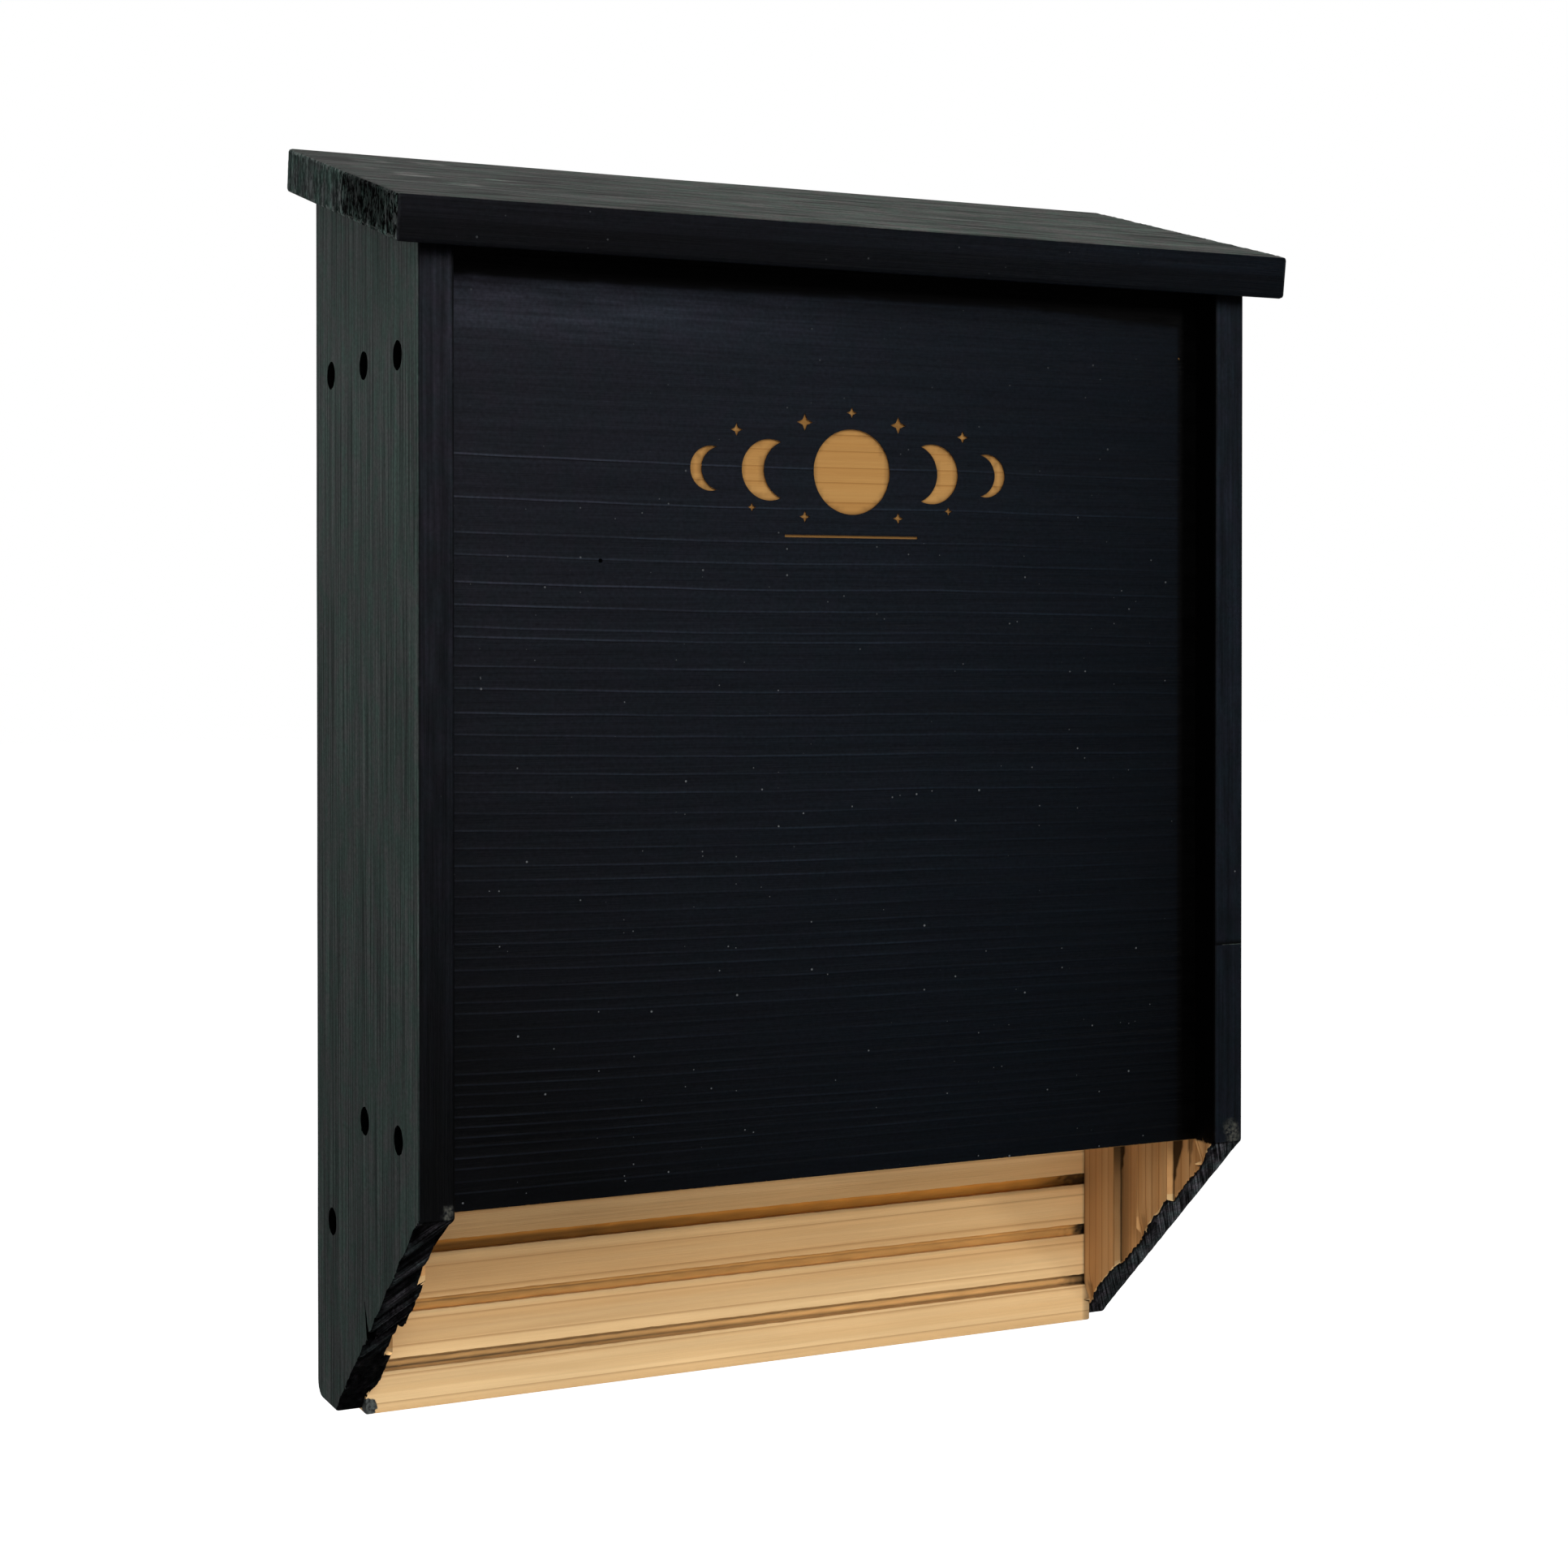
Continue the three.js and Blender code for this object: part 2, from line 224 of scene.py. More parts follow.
def blank(name, low, high):  # sawn block from one corner to the other, in mm
    bpy.ops.object.select_all(action="DESELECT")
    middle = [(a + b) / 2 * mm for a, b in zip(low, high)]
    size = [(b - a) * mm for a, b in zip(low, high)]
    bpy.ops.mesh.primitive_cube_add(size=1, location=middle, scale=size)
    piece = bpy.context.object
    piece.name = name
    bpy.ops.object.transform_apply(location=True, rotation=True, scale=True)
    return piece


def score(piece, normal, places, **cut):  # marks lines round the board, for its relief to follow
    pick(piece)
    bpy.ops.object.mode_set(mode="EDIT")
    unit = Vector(normal).normalized()
    for place in places:
        bpy.ops.mesh.select_all(action="SELECT")
        bpy.ops.mesh.bisect(plane_co=unit * place * mm, plane_no=unit, **cut)
    bpy.ops.object.mode_set(mode="OBJECT")


def saw(piece, normal, reach):  # takes off what lies past a plane, at its distance from the origin
    score(piece, normal, [reach], use_fill=True, clear_outer=True)


def even(start, end, gap):  # even places between two ends, which are left out
    count = max(1, round(abs(end - start) / gap))
    return [start + (end - start) * i / count for i in range(1, count)]


def ease(piece, width, steps, wanted=None):  # rounds the edges whose two ends pass the test, or every sharp one
    pick(piece)
    bpy.context.tool_settings.mesh_select_mode = (False, True, False)
    bpy.ops.object.mode_set(mode="EDIT")
    bpy.ops.mesh.select_all(action="DESELECT")
    if wanted:
        bpy.ops.object.mode_set(mode="OBJECT")
        points = [vertex.co / mm for vertex in piece.data.vertices]
        for edge in piece.data.edges:
            edge.select = all(wanted(*points[i]) for i in edge.vertices)
        bpy.ops.object.mode_set(mode="EDIT")
    else:
        bpy.ops.mesh.edges_select_sharp(sharpness=math.radians(32))
    bpy.ops.mesh.bevel(offset=width * mm, offset_type="OFFSET", segments=steps, affect="EDGES")
    bpy.ops.object.mode_set(mode="OBJECT")


def drill(radius, start, end, facets=24):  # round cutter between two points, in mm
    bpy.ops.object.select_all(action="DESELECT")
    start, end = Vector(start), Vector(end)
    turn = (end - start).to_track_quat("Z", "Y").to_euler()
    place = (start + end) / 2 * mm
    depth = (end - start).length * mm
    size = {"vertices": facets, "radius": radius * mm, "depth": depth}
    bpy.ops.mesh.primitive_cylinder_add(location=place, rotation=turn, **size)
    bpy.ops.object.transform_apply(location=True, rotation=True, scale=True)
    return bpy.context.object


def join(pieces):
    bpy.ops.object.select_all(action="DESELECT")
    for piece in pieces:
        piece.select_set(True)
    bpy.context.view_layer.objects.active = pieces[0]
    bpy.ops.object.join()
    return pieces[0]


def cutOut(piece, cutter, operation="DIFFERENCE"):
    pick(piece)
    change = piece.modifiers.new("cut", "BOOLEAN")
    change.operation = operation
    change.solver = "EXACT"
    change.object = cutter
    bpy.ops.object.modifier_apply(modifier="cut")
    bpy.data.meshes.remove(cutter.data)


def reshape(piece, move):  # moves each point by what move gives for its place, in mm
    for vertex in piece.data.vertices:
        vertex.co += Vector(move(*(vertex.co / mm))) * mm
    piece.data.update()


def mark(piece, name, value):  # writes a number at each point for the materials to read
    layer = piece.data.attributes.new(name, "FLOAT", "POINT")
    layer.data.foreach_set("value", [value(*(vertex.co / mm)) for vertex in piece.data.vertices])


def arrisGap(planes):  # distance to the nearest arris: the second nearest of the board's planes
    units = [(Vector(normal).normalized(), reach) for normal, reach in planes]

    def gap(x, y, z):
        place = Vector((x, y, z))
        return sorted(max(0, reach - unit.dot(place)) for unit, reach in units)[1]

    return gap


def chipped(chips):  # 1 at the middle of each chip in the list, 0 at its rim and beyond
    def depth(x, y, z):
        return max([0] + [1 - (Vector((x, y, z)) - Vector(spot)).length / size for *spot, size in chips])

    return depth


def nearEnds(halfSpan):  # fine places over the last stretch at both ends
    inside = even(halfSpan - 20, halfSpan, 1.3)
    return inside + [-place for place in inside]


grooveOffsets = (-2.25, -1.8, -1.35, -0.8, -0.2, 0.4, 0.9, 1.4, 2.25)  # up a groove's floor, from its middle


def grooveBars(face, inward, heights, halfSpan):  # ragged cutters, modelled once and copied
    depth, half, lowest = shared["grooveDepth"], shared["grooveWidth"] / 2, heights[0]
    ends = sorted((face - inward * 2, face + inward * depth))
    bar = blank("grooveBar", (-halfSpan, ends[0], lowest - half), (halfSpan, ends[1], lowest + half))
    score(bar, (1, 0, 0), even(20 - halfSpan, halfSpan - 20, 3) + nearEnds(halfSpan))
    score(bar, (0, 0, 1), [lowest + offset for offset in grooveOffsets[1:-1]])
    bars = [bar]
    for height in heights[1:]:
        pick(bar)
        bpy.ops.object.duplicate()
        bpy.ops.transform.translate(value=(0, 0, (height - lowest) * mm))
        bpy.ops.object.transform_apply(location=True, rotation=True, scale=True)
        bars.append(bpy.context.object)
    bars = join(bars)

    def torn(x, y, z):
        rough = 0.22 * wobble(x / 2.1, y, z / 1.3) + 0.14 * wobble(x / 14, y, z / 3)
        return 0, 0.35 * inward * wobble(x / 4, z, 5) if abs(y - face) < depth + 0.1 else 0, rough

    reshape(bars, torn)
    return bars


# Dresses a board, which then takes its CAD node's place
def finishBoard(piece, node, slot, values, *kinds, choose=None):
    for name, value in values.items():
        mark(piece, name, value)
    for kind in kinds:
        piece.data.materials.append(finish[kind])
    for face in piece.data.polygons:
        face.material_index = choose(face.center / mm, face.normal) if choose else 0
    pick(piece)
    bpy.ops.object.shade_smooth_by_angle(angle=math.radians(20))
    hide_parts(node)
    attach(piece, "root")
    print(node, len(piece.data.polygons), "faces")


# Sizes that the boards share, in mm, from the wall plane and the hanging point
shared = {
    "inner": 152.4,  # inner faces of the side boards
    "outer": 165.1,
    "frontFace": -110.5,
    "panelFoot": -307,  # lower edge of the front board and the baffle
    "roofSlope": math.radians(15),
    "roofSeat": 53,  # height of the side boards' slanted top at the wall
    "fit": 0.2,
    "grooveWidth": 4.5,
    "grooveDepth": 2.5,
    "grooveLowest": -379.1,
    "groovePitch": 20.9,
    "screwHigh": -16.2,
    "screwLow": (-326.3, -282.6, -282.6),  # back, middle and front boards
    "boards": ((-30, -11), (-69.5, -53.5), (-110.5, -91.5)),
    "slopeRun": 1.348,  # length along the slanted cut for each mm of depth
    "strandSkew": 1.72,  # length that a torn strand runs along the cut for each mm across it
}
slopeSin, slopeCos = math.sin(shared["roofSlope"]), math.cos(shared["roofSlope"])
grooves = [shared["grooveLowest"] + shared["groovePitch"] * i for i in range(20)]


def crossBlank(name, board, foot):  # a cross board's block, the planes that bound it and its half length
    front, rear = shared["boards"][board]
    end = cornersOf("front_board")[1][0]
    seat = (shared["roofSeat"] - shared["fit"]) * slopeCos
    planes = [((0, -1, 0), -front), ((0, 1, 0), rear), ((0, 0, -1), -foot), ((0, -slopeSin, slopeCos), seat),
              ((1, 0, 0), end), ((-1, 0, 0), end)]
    piece = blank(name, (-end, front, foot), (end, rear, 60))
    saw(piece, *planes[3])
    ease(piece, 0.8, 2)
    return piece, planes, end


# Effects shared by the materials
def newGroup(name, numbers, results):  # takes a vector and some numbers, and gives numbers
    tree = bpy.data.node_groups.new(name, "ShaderNodeTree")
    sockets = [("Vector", "INPUT", "NodeSocketVector")]
    sockets += [(label, "INPUT", "NodeSocketFloat") for label in numbers]
    sockets += [(label, "OUTPUT", "NodeSocketFloat") for label in results]
    for label, way, kind in sockets:
        tree.interface.new_socket(name=label, in_out=way, socket_type=kind)
    return tree, tree.nodes.new("NodeGroupInput").outputs, tree.nodes.new("NodeGroupOutput").inputs


def useGroup(tree, group, inputs):
    return addNode(tree, "ShaderNodeGroup", inputs, node_tree=group).outputs


def makeSawnGrain():  # streaks along the first axis of the vector, in texture units
    tree, given, made = newGroup("sawnGrain", [], ["Streak", "Fibre", "Cloud"])
    streak = cloudy(tree, given["Vector"], 1, 3, 0.6)
    fine = cloudy(tree, given["Vector"], 4.3, 2, 0.7)
    cloud = cloudy(tree, given["Vector"], 0.14)
    tree.links.new(spread(tree, streak, 0.3, 0.7, 0, 1), made["Streak"])
    tree.links.new(spread(tree, fine, 0.3, 0.7, 0, 1), made["Fibre"])
    tree.links.new(spread(tree, cloud, 0.35, 0.65, 0, 1), made["Cloud"])
    return tree


def makeGrowthLines():  # uneven year rings: a slow darkening that ends in a sharp line
    tree, given, made = newGroup("growthLines", ["Across", "Year Width"], ["Line", "Late Wood"])
    shift = calc(tree, "MULTIPLY_ADD", cloudy(tree, given["Vector"], 0.09, 1), 4.5, given["Across"])
    shift = calc(tree, "MULTIPLY_ADD", cloudy(tree, given["Vector"], 0.9, 1), 0.35, shift)
    year = calc(tree, "FRACT", calc(tree, "DIVIDE", shift, given["Year Width"]))
    tree.links.new(spread(tree, year, 0.9, 0.98, 0, 1), made["Line"])
    tree.links.new(calc(tree, "POWER", year, 3), made["Late Wood"])
    return tree


def makeDustSpecks():  # scattered pale grains of uneven size
    tree, given, made = newGroup("dustSpecks", ["Spacing", "Size"], ["Mask"])
    scale = calc(tree, "DIVIDE", 1, given["Spacing"])
    cells = addNode(tree, "ShaderNodeTexVoronoi", {"Vector": given["Vector"], "Scale": scale})
    chance = addNode(tree, "ShaderNodeSeparateColor", {0: cells.outputs["Color"]}).outputs["Red"]
    size = calc(tree, "MULTIPLY", calc(tree, "MULTIPLY", calc(tree, "POWER", chance, 5), given["Size"]), scale)
    inside = calc(tree, "SUBTRACT", size, cells.outputs["Distance"])
    tree.links.new(calc(tree, "MULTIPLY", inside, 40, clamped=True), made["Mask"])
    return tree


def makeEdgeWear():  # paint rubbed thin in a ragged band beside each arris
    tree, given, made = newGroup("edgeWear", ["Gap", "Width"], ["Mask"])
    rough = spread(tree, cloudy(tree, given["Vector"], 0.35, 4), 0.42, 0.7, 0, 1)
    reach = calc(tree, "MULTIPLY", rough, given["Width"])
    tree.links.new(calc(tree, "SUBTRACT", reach, given["Gap"], clamped=True), made["Mask"])
    return tree


def makePaintReach():  # ragged limit between paint and bare wood
    tree, given, made = newGroup("paintReach", ["Bare", "Ragged"], ["Mask"])
    rough = calc(tree, "SUBTRACT", cloudy(tree, given["Vector"], 0.8, 3), 0.5)
    push = calc(tree, "MULTIPLY", rough, given["Ragged"])
    tree.links.new(spread(tree, calc(tree, "ADD", given["Bare"], push), 0.42, 0.58, 0, 1), made["Mask"])
    return tree


groups = {
    "grain": makeSawnGrain(),
    "years": makeGrowthLines(),
    "dust": makeDustSpecks(),
    "wear": makeEdgeWear(),
    "reach": makePaintReach(),
}

# Colours are linear; grainAlong is the axis that the wood's grain follows
wood = {
    "pale": (0.79, 0.55, 0.28),
    "tan": (0.65, 0.395, 0.17),
    "line": (0.34, 0.175, 0.06),
    "burnt": (0.62, 0.42, 0.15),  # what full scorching leaves of each colour
    "roughness": 0.7,
}
finishDefaults = {
    "cool": (1, 1, 1), "wearWidth": 0, "pits": False, "streakWidth": 1.1, "streakLength": 90,
    "dustGap": 6, "patchy": 1, "yearWidth": 6, "yearPower": 1, "redder": (1, 1, 1),
}
# The side, roof and roof-end paints are the front's black paint made paler as painted light, for how light falls
# on those faces
finishes = {
    "frontPaint": {
        "grainAlong": "X", "dark": (0.0029, 0.0031, 0.0043), "light": (0.0041, 0.0045, 0.0062),
        "cool": (0.62, 1.0, 1.17), "worn": (0.018, 0.019, 0.022), "wearWidth": 0.9, "dustSize": 0.44,
        "roughness": (0.36, 0.5), "specular": 0.035, "bump": 0.35, "dustGap": 3.3, "patchy": 0.45,
    },
    # painted light: the black paint made paler for the side faces
    "sidePaintLitCopy": {
        "grainAlong": "Z", "dark": (0.010, 0.016, 0.0145), "light": (0.078, 0.102, 0.094),
        "cool": (1.07, 0.97, 0.97), "worn": (0.085, 0.108, 0.102), "wearWidth": 1.1, "dustSize": 0.4,
        "roughness": (0.48, 0.62), "specular": 0.03, "bump": 0.6,
    },
    "edgePaint": {
        "grainAlong": "Z", "dark": (0.0020, 0.0023, 0.0032), "light": (0.0046, 0.0049, 0.0068),
        "cool": (0.74, 1.0, 1.1), "worn": (0.015, 0.016, 0.019), "wearWidth": 0.9, "dustSize": 0.5,
        "roughness": (0.36, 0.5), "specular": 0.045, "bump": 0.6, "scuffed": (0.075, 0.075, 0.063),
    },
    # painted light: the black paint made paler for the roof top
    "roofPaintLitCopy": {
        "grainAlong": "X", "dark": (0.006, 0.0075, 0.006), "light": (0.062, 0.069, 0.062),
        "worn": (0.05, 0.055, 0.05), "wearWidth": 1.2, "dustSize": 0.4, "streakWidth": 2.8, "streakLength": 40,
        "roughness": (0.55, 0.7), "specular": 0.02, "bump": 0.6,
    },
    # painted light: the black paint made paler for the roof's ends
    "endPaintLitCopy": {
        "grainAlong": "Z", "dark": (0.012, 0.0165, 0.0155), "light": (0.094, 0.122, 0.113),
        "worn": (0.14, 0.165, 0.155), "wearWidth": 3, "dustSize": 0.4, "pits": True,
        "roughness": (0.6, 0.8), "specular": 0.004, "bump": 1.0,
    },
    "cutPaint": {
        "grainAlong": "Z", "dark": (0.0030, 0.0031, 0.0034), "light": (0.0070, 0.0074, 0.0080),
        "worn": (0.03, 0.034, 0.035), "wearWidth": 0.3, "dustSize": 0.2, "strandWidth": 1.1,
        "roughness": (0.6, 0.8), "specular": 0.006, "bump": 0.8,
    },
    # painted shade: near black, darker than the paint, for the inside of the bores and the crack
    "paintedBoreShade": {
        "grainAlong": "X", "dark": (0.0003, 0.0003, 0.0004), "light": (0.0010, 0.0011, 0.0011),
        "worn": (0.004, 0.004, 0.004), "dustSize": 0.1, "roughness": (0.8, 0.9), "specular": 0.0, "bump": 0.5,
    },
    "bareAcross": {
        "grainAlong": "X", "dark": (0.002, 0.002, 0.0025), "light": (0.004, 0.004, 0.005), "yearWidth": 9.5,
        "worn": (0.08, 0.09, 0.085), "dustSize": 0.3, "roughness": (0.4, 0.5), "specular": 0.2, "bump": 0.45,
    },
    "bareUpright": {
        "grainAlong": "Z", "dark": (0.002, 0.002, 0.0025), "light": (0.004, 0.004, 0.005), "yearWidth": 5.2,
        "worn": (0.02, 0.02, 0.02), "dustSize": 0.1, "roughness": (0.5, 0.6), "specular": 0.03, "bump": 0.45,
        "yearPower": 2.0, "redder": (0.93, 0.80, 0.70),
    },
}
specks = {"colour": (0.09, 0.095, 0.1), "fade": (-150, -30, 0.3)}  # dust, and the heights between which it thins


def newFinish(name):  # a material, its nodes and shader inputs, and the place in metres and in mm
    material = bpy.data.materials.new(name)
    material.use_nodes = True
    tree = material.node_tree
    place = tree.nodes.new("ShaderNodeTexCoord").outputs["Object"]
    return material, tree, tree.nodes["Principled BSDF"].inputs, place, stretched(tree, place, (1000, 1000, 1000))


def boardFinish(name):  # paint over sawn wood, bare where the points say so
    values = {**finishDefaults, **finishes[name]}
    material, tree, surface, place, inMm = newFinish(name)
    stretch = [1000 / values["streakWidth"]] * 3
    stretch["XYZ".index(values["grainAlong"])] = 1000 / values["streakLength"]
    along = stretched(tree, place, stretch)
    parts = addNode(tree, "ShaderNodeSeparateXYZ", {0: inMm}).outputs
    across = parts["Y"] if values["grainAlong"] == "Z" else parts["Z"]

    def point(label):
        return addNode(tree, "ShaderNodeAttribute", {}, attribute_name=label).outputs["Fac"]

    def times(first, second):
        return calc(tree, "MULTIPLY", first, second)

    def masked(group, **inputs):  # a shared effect's mask
        inputs = {label.title(): value for label, value in inputs.items()}
        return useGroup(tree, groups[group], {"Vector": inMm, **inputs})["Mask"]

    grain = useGroup(tree, groups["grain"], {"Vector": along})
    years = useGroup(tree, groups["years"], {"Vector": along, "Across": across, "Year Width": values["yearWidth"]})
    dust = masked("dust", spacing=values["dustGap"], size=values["dustSize"])
    wear = masked("wear", gap=point("gap"), width=values["wearWidth"])
    bare = masked("reach", bare=point("bare"), ragged=0.7)
    scuff = point("scuff")

    streaks = calc(tree, "ADD", times(grain["Streak"], 0.8), times(grain["Cloud"], 0.2))
    paint = blend(tree, spread(tree, streaks, 0.2, 0.8, 0, 1), values["dark"], values["light"])
    towards = calc(tree, "MULTIPLY_ADD", parts["Z"], -0.45, parts["X"])  # paint is bluer to the right and below
    cooler = blend(tree, spread(tree, towards, -130, 200, 0, 1), (1, 1, 1), values["cool"])
    paint = blend(tree, 1, paint, cooler, "MULTIPLY")
    crumbs = calc(tree, "MULTIPLY_ADD", cloudy(tree, inMm, 0.75), 1.1, 0.45)
    paint = scaled(tree, paint, crumbs)
    patch = spread(tree, cloudy(tree, inMm, 0.13, 4), 0.4, 0.6, 0, 1)
    patchy = blend(tree, patch, (0.86, 1.02, 0.97), (1.12, 0.97, 1.03))
    paint = blend(tree, values["patchy"], paint, patchy, "MULTIPLY")
    if "strandWidth" in values:  # painted highlights and shade along fine torn strands that run across the slanted cut
        outward = calc(tree, "ABSOLUTE", parts["X"])
        slide = calc(tree, "MULTIPLY_ADD", outward, -shared["strandSkew"], times(parts["Y"], shared["slopeRun"]))
        spot = {"X": calc(tree, "DIVIDE", slide, values["strandWidth"]), "Y": calc(tree, "DIVIDE", parts["Y"], 16)}
        strands = cloudy(tree, addNode(tree, "ShaderNodeCombineXYZ", spot).outputs[0], 1)
        paint = scaled(tree, paint, spread(tree, strands, 0.38, 0.64, 0.1, 2.1))
    if values["pits"]:  # torn end grain, with pale fibres between black pits
        pits = cloudy(tree, stretched(tree, inMm, (1, 1, 0.42)), 0.5, 4, 0.65)
        pitted = blend(tree, scuff, (1, 1, 1), spread(tree, pits, 0.47, 0.55, 0, 2))
        paint = blend(tree, 1, paint, pitted, "MULTIPLY")
    paint = blend(tree, wear, paint, values["worn"])
    if not values["pits"]:
        scuffed = times(scuff, spread(tree, cloudy(tree, inMm, 0.9, 4), 0.35, 0.65, 0, 1))
        paint = blend(tree, scuffed, paint, values.get("scuffed", values["worn"]))

    power = values["yearPower"]
    timber = blend(tree, times(grain["Cloud"], 0.75), wood["pale"], wood["tan"])
    timber = blend(tree, times(grain["Streak"], 0.2), timber, wood["line"])
    timber = blend(tree, times(years["Late Wood"], 0.35 * power), timber, wood["tan"])
    timber = blend(tree, times(years["Line"], 0.5 * power), timber, wood["line"])
    timber = blend(tree, 1, timber, values["redder"], "MULTIPLY")
    timber = blend(tree, point("burn"), timber, wood["burnt"], "MULTIPLY")
    level = point("shade")
    colour = scaled(tree, blend(tree, bare, paint, timber), level)
    dusty = times(times(dust, calc(tree, "SUBTRACT", 1, bare)), spread(tree, level, 0.05, 0.2, 0, 1))
    lowest, highest, left = specks["fade"]
    dusty = times(dusty, spread(tree, parts["Z"], lowest, highest, 1, left))
    tree.links.new(blend(tree, dusty, colour, specks["colour"]), surface["Base Color"])

    painted = spread(tree, grain["Cloud"], 0, 1, *values["roughness"])
    rough = calc(tree, "ADD", times(bare, wood["roughness"] - 0.45), painted)
    tree.links.new(rough, surface["Roughness"])
    height = calc(tree, "MULTIPLY_ADD", grain["Streak"], 0.6, times(grain["Fibre"], 0.4))
    if values["pits"]:
        height = calc(tree, "ADD", height, times(pits, 3))
    bump = addNode(tree, "ShaderNodeBump", {"Strength": values["bump"], "Distance": 0.0003, "Height": height})
    tree.links.new(bump.outputs[0], surface["Normal"])
    surface["Specular IOR Level"].default_value = values["specular"]
    return material


finish = {name: boardFinish(name) for name in finishes}
print("finishes mixed")

# Front board: painted wide board with year rings that stand out, an engraving and rear grooves
frontBoard = {
    "firstRings": (-49.3, -63.9, -75.9, -83.6, -93.0, -100.7, -108.3,
                   -111.6, -121.3, -129.0, -137.2, -144.6, -151.5),
    "ringGaps": (8.2, 3.7),  # widest and finest gap below them
    "ringFall": 0.0172,  # drop of the rings for each mm to the right
    "ringSag": 0.8,
    "ledge": 0.1,  # how far a ring stands out
    "ringHighlight": 2.2,  # painted highlight along a ring's ledge, as a share more than the paint
    "ringShade": 0.7,  # painted shade just under a ledge, as a share less
    "columnGap": 5,
    "pinHole": (-95.0, -85.2),
    "paintedShadowEdge": (144.2, 11.0, 3.4),  # right and upper limits of the lit area, beyond which shadow is painted under the roof and beside the right side board, and its drop at the right
    "brush": 0.7,  # pale brush strokes at the upper left
    "ringTop": -76,  # where the rings begin to close up
    "nicks": [(-152.0, -110.5, -184, 1.6), (144.7, -110.5, -4.7, 0.9)],
}
# Engraving: the moon's phases between stars, in bare wood
moonPhases = {
    "middle": (3, -52),
    "depth": 0.85,
    "moons": ((0, 15.5, 0), (-33, 11, 8.5), (33, 11, -8.5), (-56, 8, 4.2), (56, 8, -4.2)),
    "stars": ((-19, 17.5, 3.2), (19, 17.5, 3.2), (-46, 14, 2.4), (46, 14, 2.4), (0, 21.5, 2.1),
              (-19, -16.5, 2.2), (19, -16.5, 2.2), (-40, -13.5, 1.7), (40, -13.5, 1.7)),
    "pinch": 0.58,  # how far every other corner of a star is drawn in
    "rule": (-23.5, 27, 0.45),  # line below: drop, half length, half height
}


def ringHeights():
    dice = random.Random(11)
    heights = list(frontBoard["firstRings"])
    widest, finest = frontBoard["ringGaps"]
    start, foot = frontBoard["ringTop"], shared["panelFoot"]
    while heights[-1] > foot + 5:
        share = clamp((heights[-1] - start) / (foot - start))
        gap = finest + (widest - finest) * (1 - share) ** 1.25
        heights.append(heights[-1] - gap * dice.uniform(0.78, 1.22))
    return heights[:-1]


rings = ringHeights()
rising = sorted(rings)
ringPower = {height: random.Random(round(height * 10)).uniform(0.55, 1.1) for height in rings}


def ringShift(x, z):  # how far the rings drop and wander from their heights at the left
    calm = soft(z, shared["panelFoot"] + 1, shared["panelFoot"] + 36) * soft(z, 23, 2)
    fall = frontBoard["ringFall"] * (x + 146) * (0.4 + 0.6 * soft(-z, 40, 150))
    sag = frontBoard["ringSag"] * math.sin(math.pi * clamp((x + 150) / 190))
    return calm * (0.6 * wobble(x / 95, z / 70, 3) + 0.2 * wobble(x / 22, z / 9, 8) - fall - sag)


def unshifted(x, z):  # height that the rings' wandering has brought here
    height = z
    for _ in range(4):
        height = z - ringShift(x, height)
    return height


def ringForm(x, height):  # depth of the face, and the painted highlight and shade along the rings, at an unshifted height
    index = bisect_left(rising, height - 0.16)
    under = rising[index] if index < len(rising) else None  # the nearest ring at or above
    below = rising[index - 1] if index else None
    across, down = (x + 150) / 300, clamp(-height / 300)
    fade = clamp((1 - 0.5 * across) * (1.1 - 0.6 * down) + 0.45 * wobble(x / 30, height / 7, 2), 0.12, 1.3)
    depth, shade = 0, 1
    if under is not None and abs(height - under) <= 0.16:
        return 0, 1 + frontBoard["ringHighlight"] * ringPower[under] * fade
    if below is not None and height - below < 0.6:  # just over a ring
        return frontBoard["ledge"] * ringPower[below] * soft(height - below, 0.1, 0.5), 1
    if under is not None:
        start, power = (shared["panelFoot"], 0.5) if below is None else (below, ringPower[below])
        drop = under - height
        depth = frontBoard["ledge"] * power * clamp(drop / max(1, under - start))
        if drop < 0.75:
            shade = 1 - frontBoard["ringShade"] * ringPower[under] * fade * (1 - abs(drop - 0.4) / 0.35)
    return depth, shade


def moonCutters():
    midX, midZ = moonPhases["middle"]
    face, floor = shared["frontFace"] - 2, shared["frontFace"] + moonPhases["depth"]
    cutters = []
    for across, radius, bite in moonPhases["moons"]:
        x = midX + across
        disc = drill(radius, (x, face, midZ), (x, floor, midZ), 64)
        if bite:
            x += bite
            cutOut(disc, drill(radius * 0.98, (x, face - 1, midZ), (x, floor + 1, midZ), 64))
        cutters.append(disc)
    for across, up, size in moonPhases["stars"]:
        x, z = midX + across, midZ + up
        star = drill(size, (x, face, z), (x, floor, z), 8)

        def pinched(px, py, pz):  # draws every other corner in
            drawn = abs(abs(px - x) - abs(pz - z)) < size * 0.2
            return ((x - px) * moonPhases["pinch"], 0, (z - pz) * moonPhases["pinch"]) if drawn else (0, 0, 0)

        reshape(star, pinched)
        cutters.append(star)
    drop, half, thin = moonPhases["rule"]
    height = midZ + drop
    cutters.append(blank("rule", (midX - half, face, height - thin), (midX + half, floor, height + thin)))
    cutter = join(cutters)
    score(cutter, (1, 0, 0), even(midX - 66, midX + 66, 2.2))
    score(cutter, (0, 0, 1), even(midZ - 25, midZ + 25, 2.2))
    return cutter


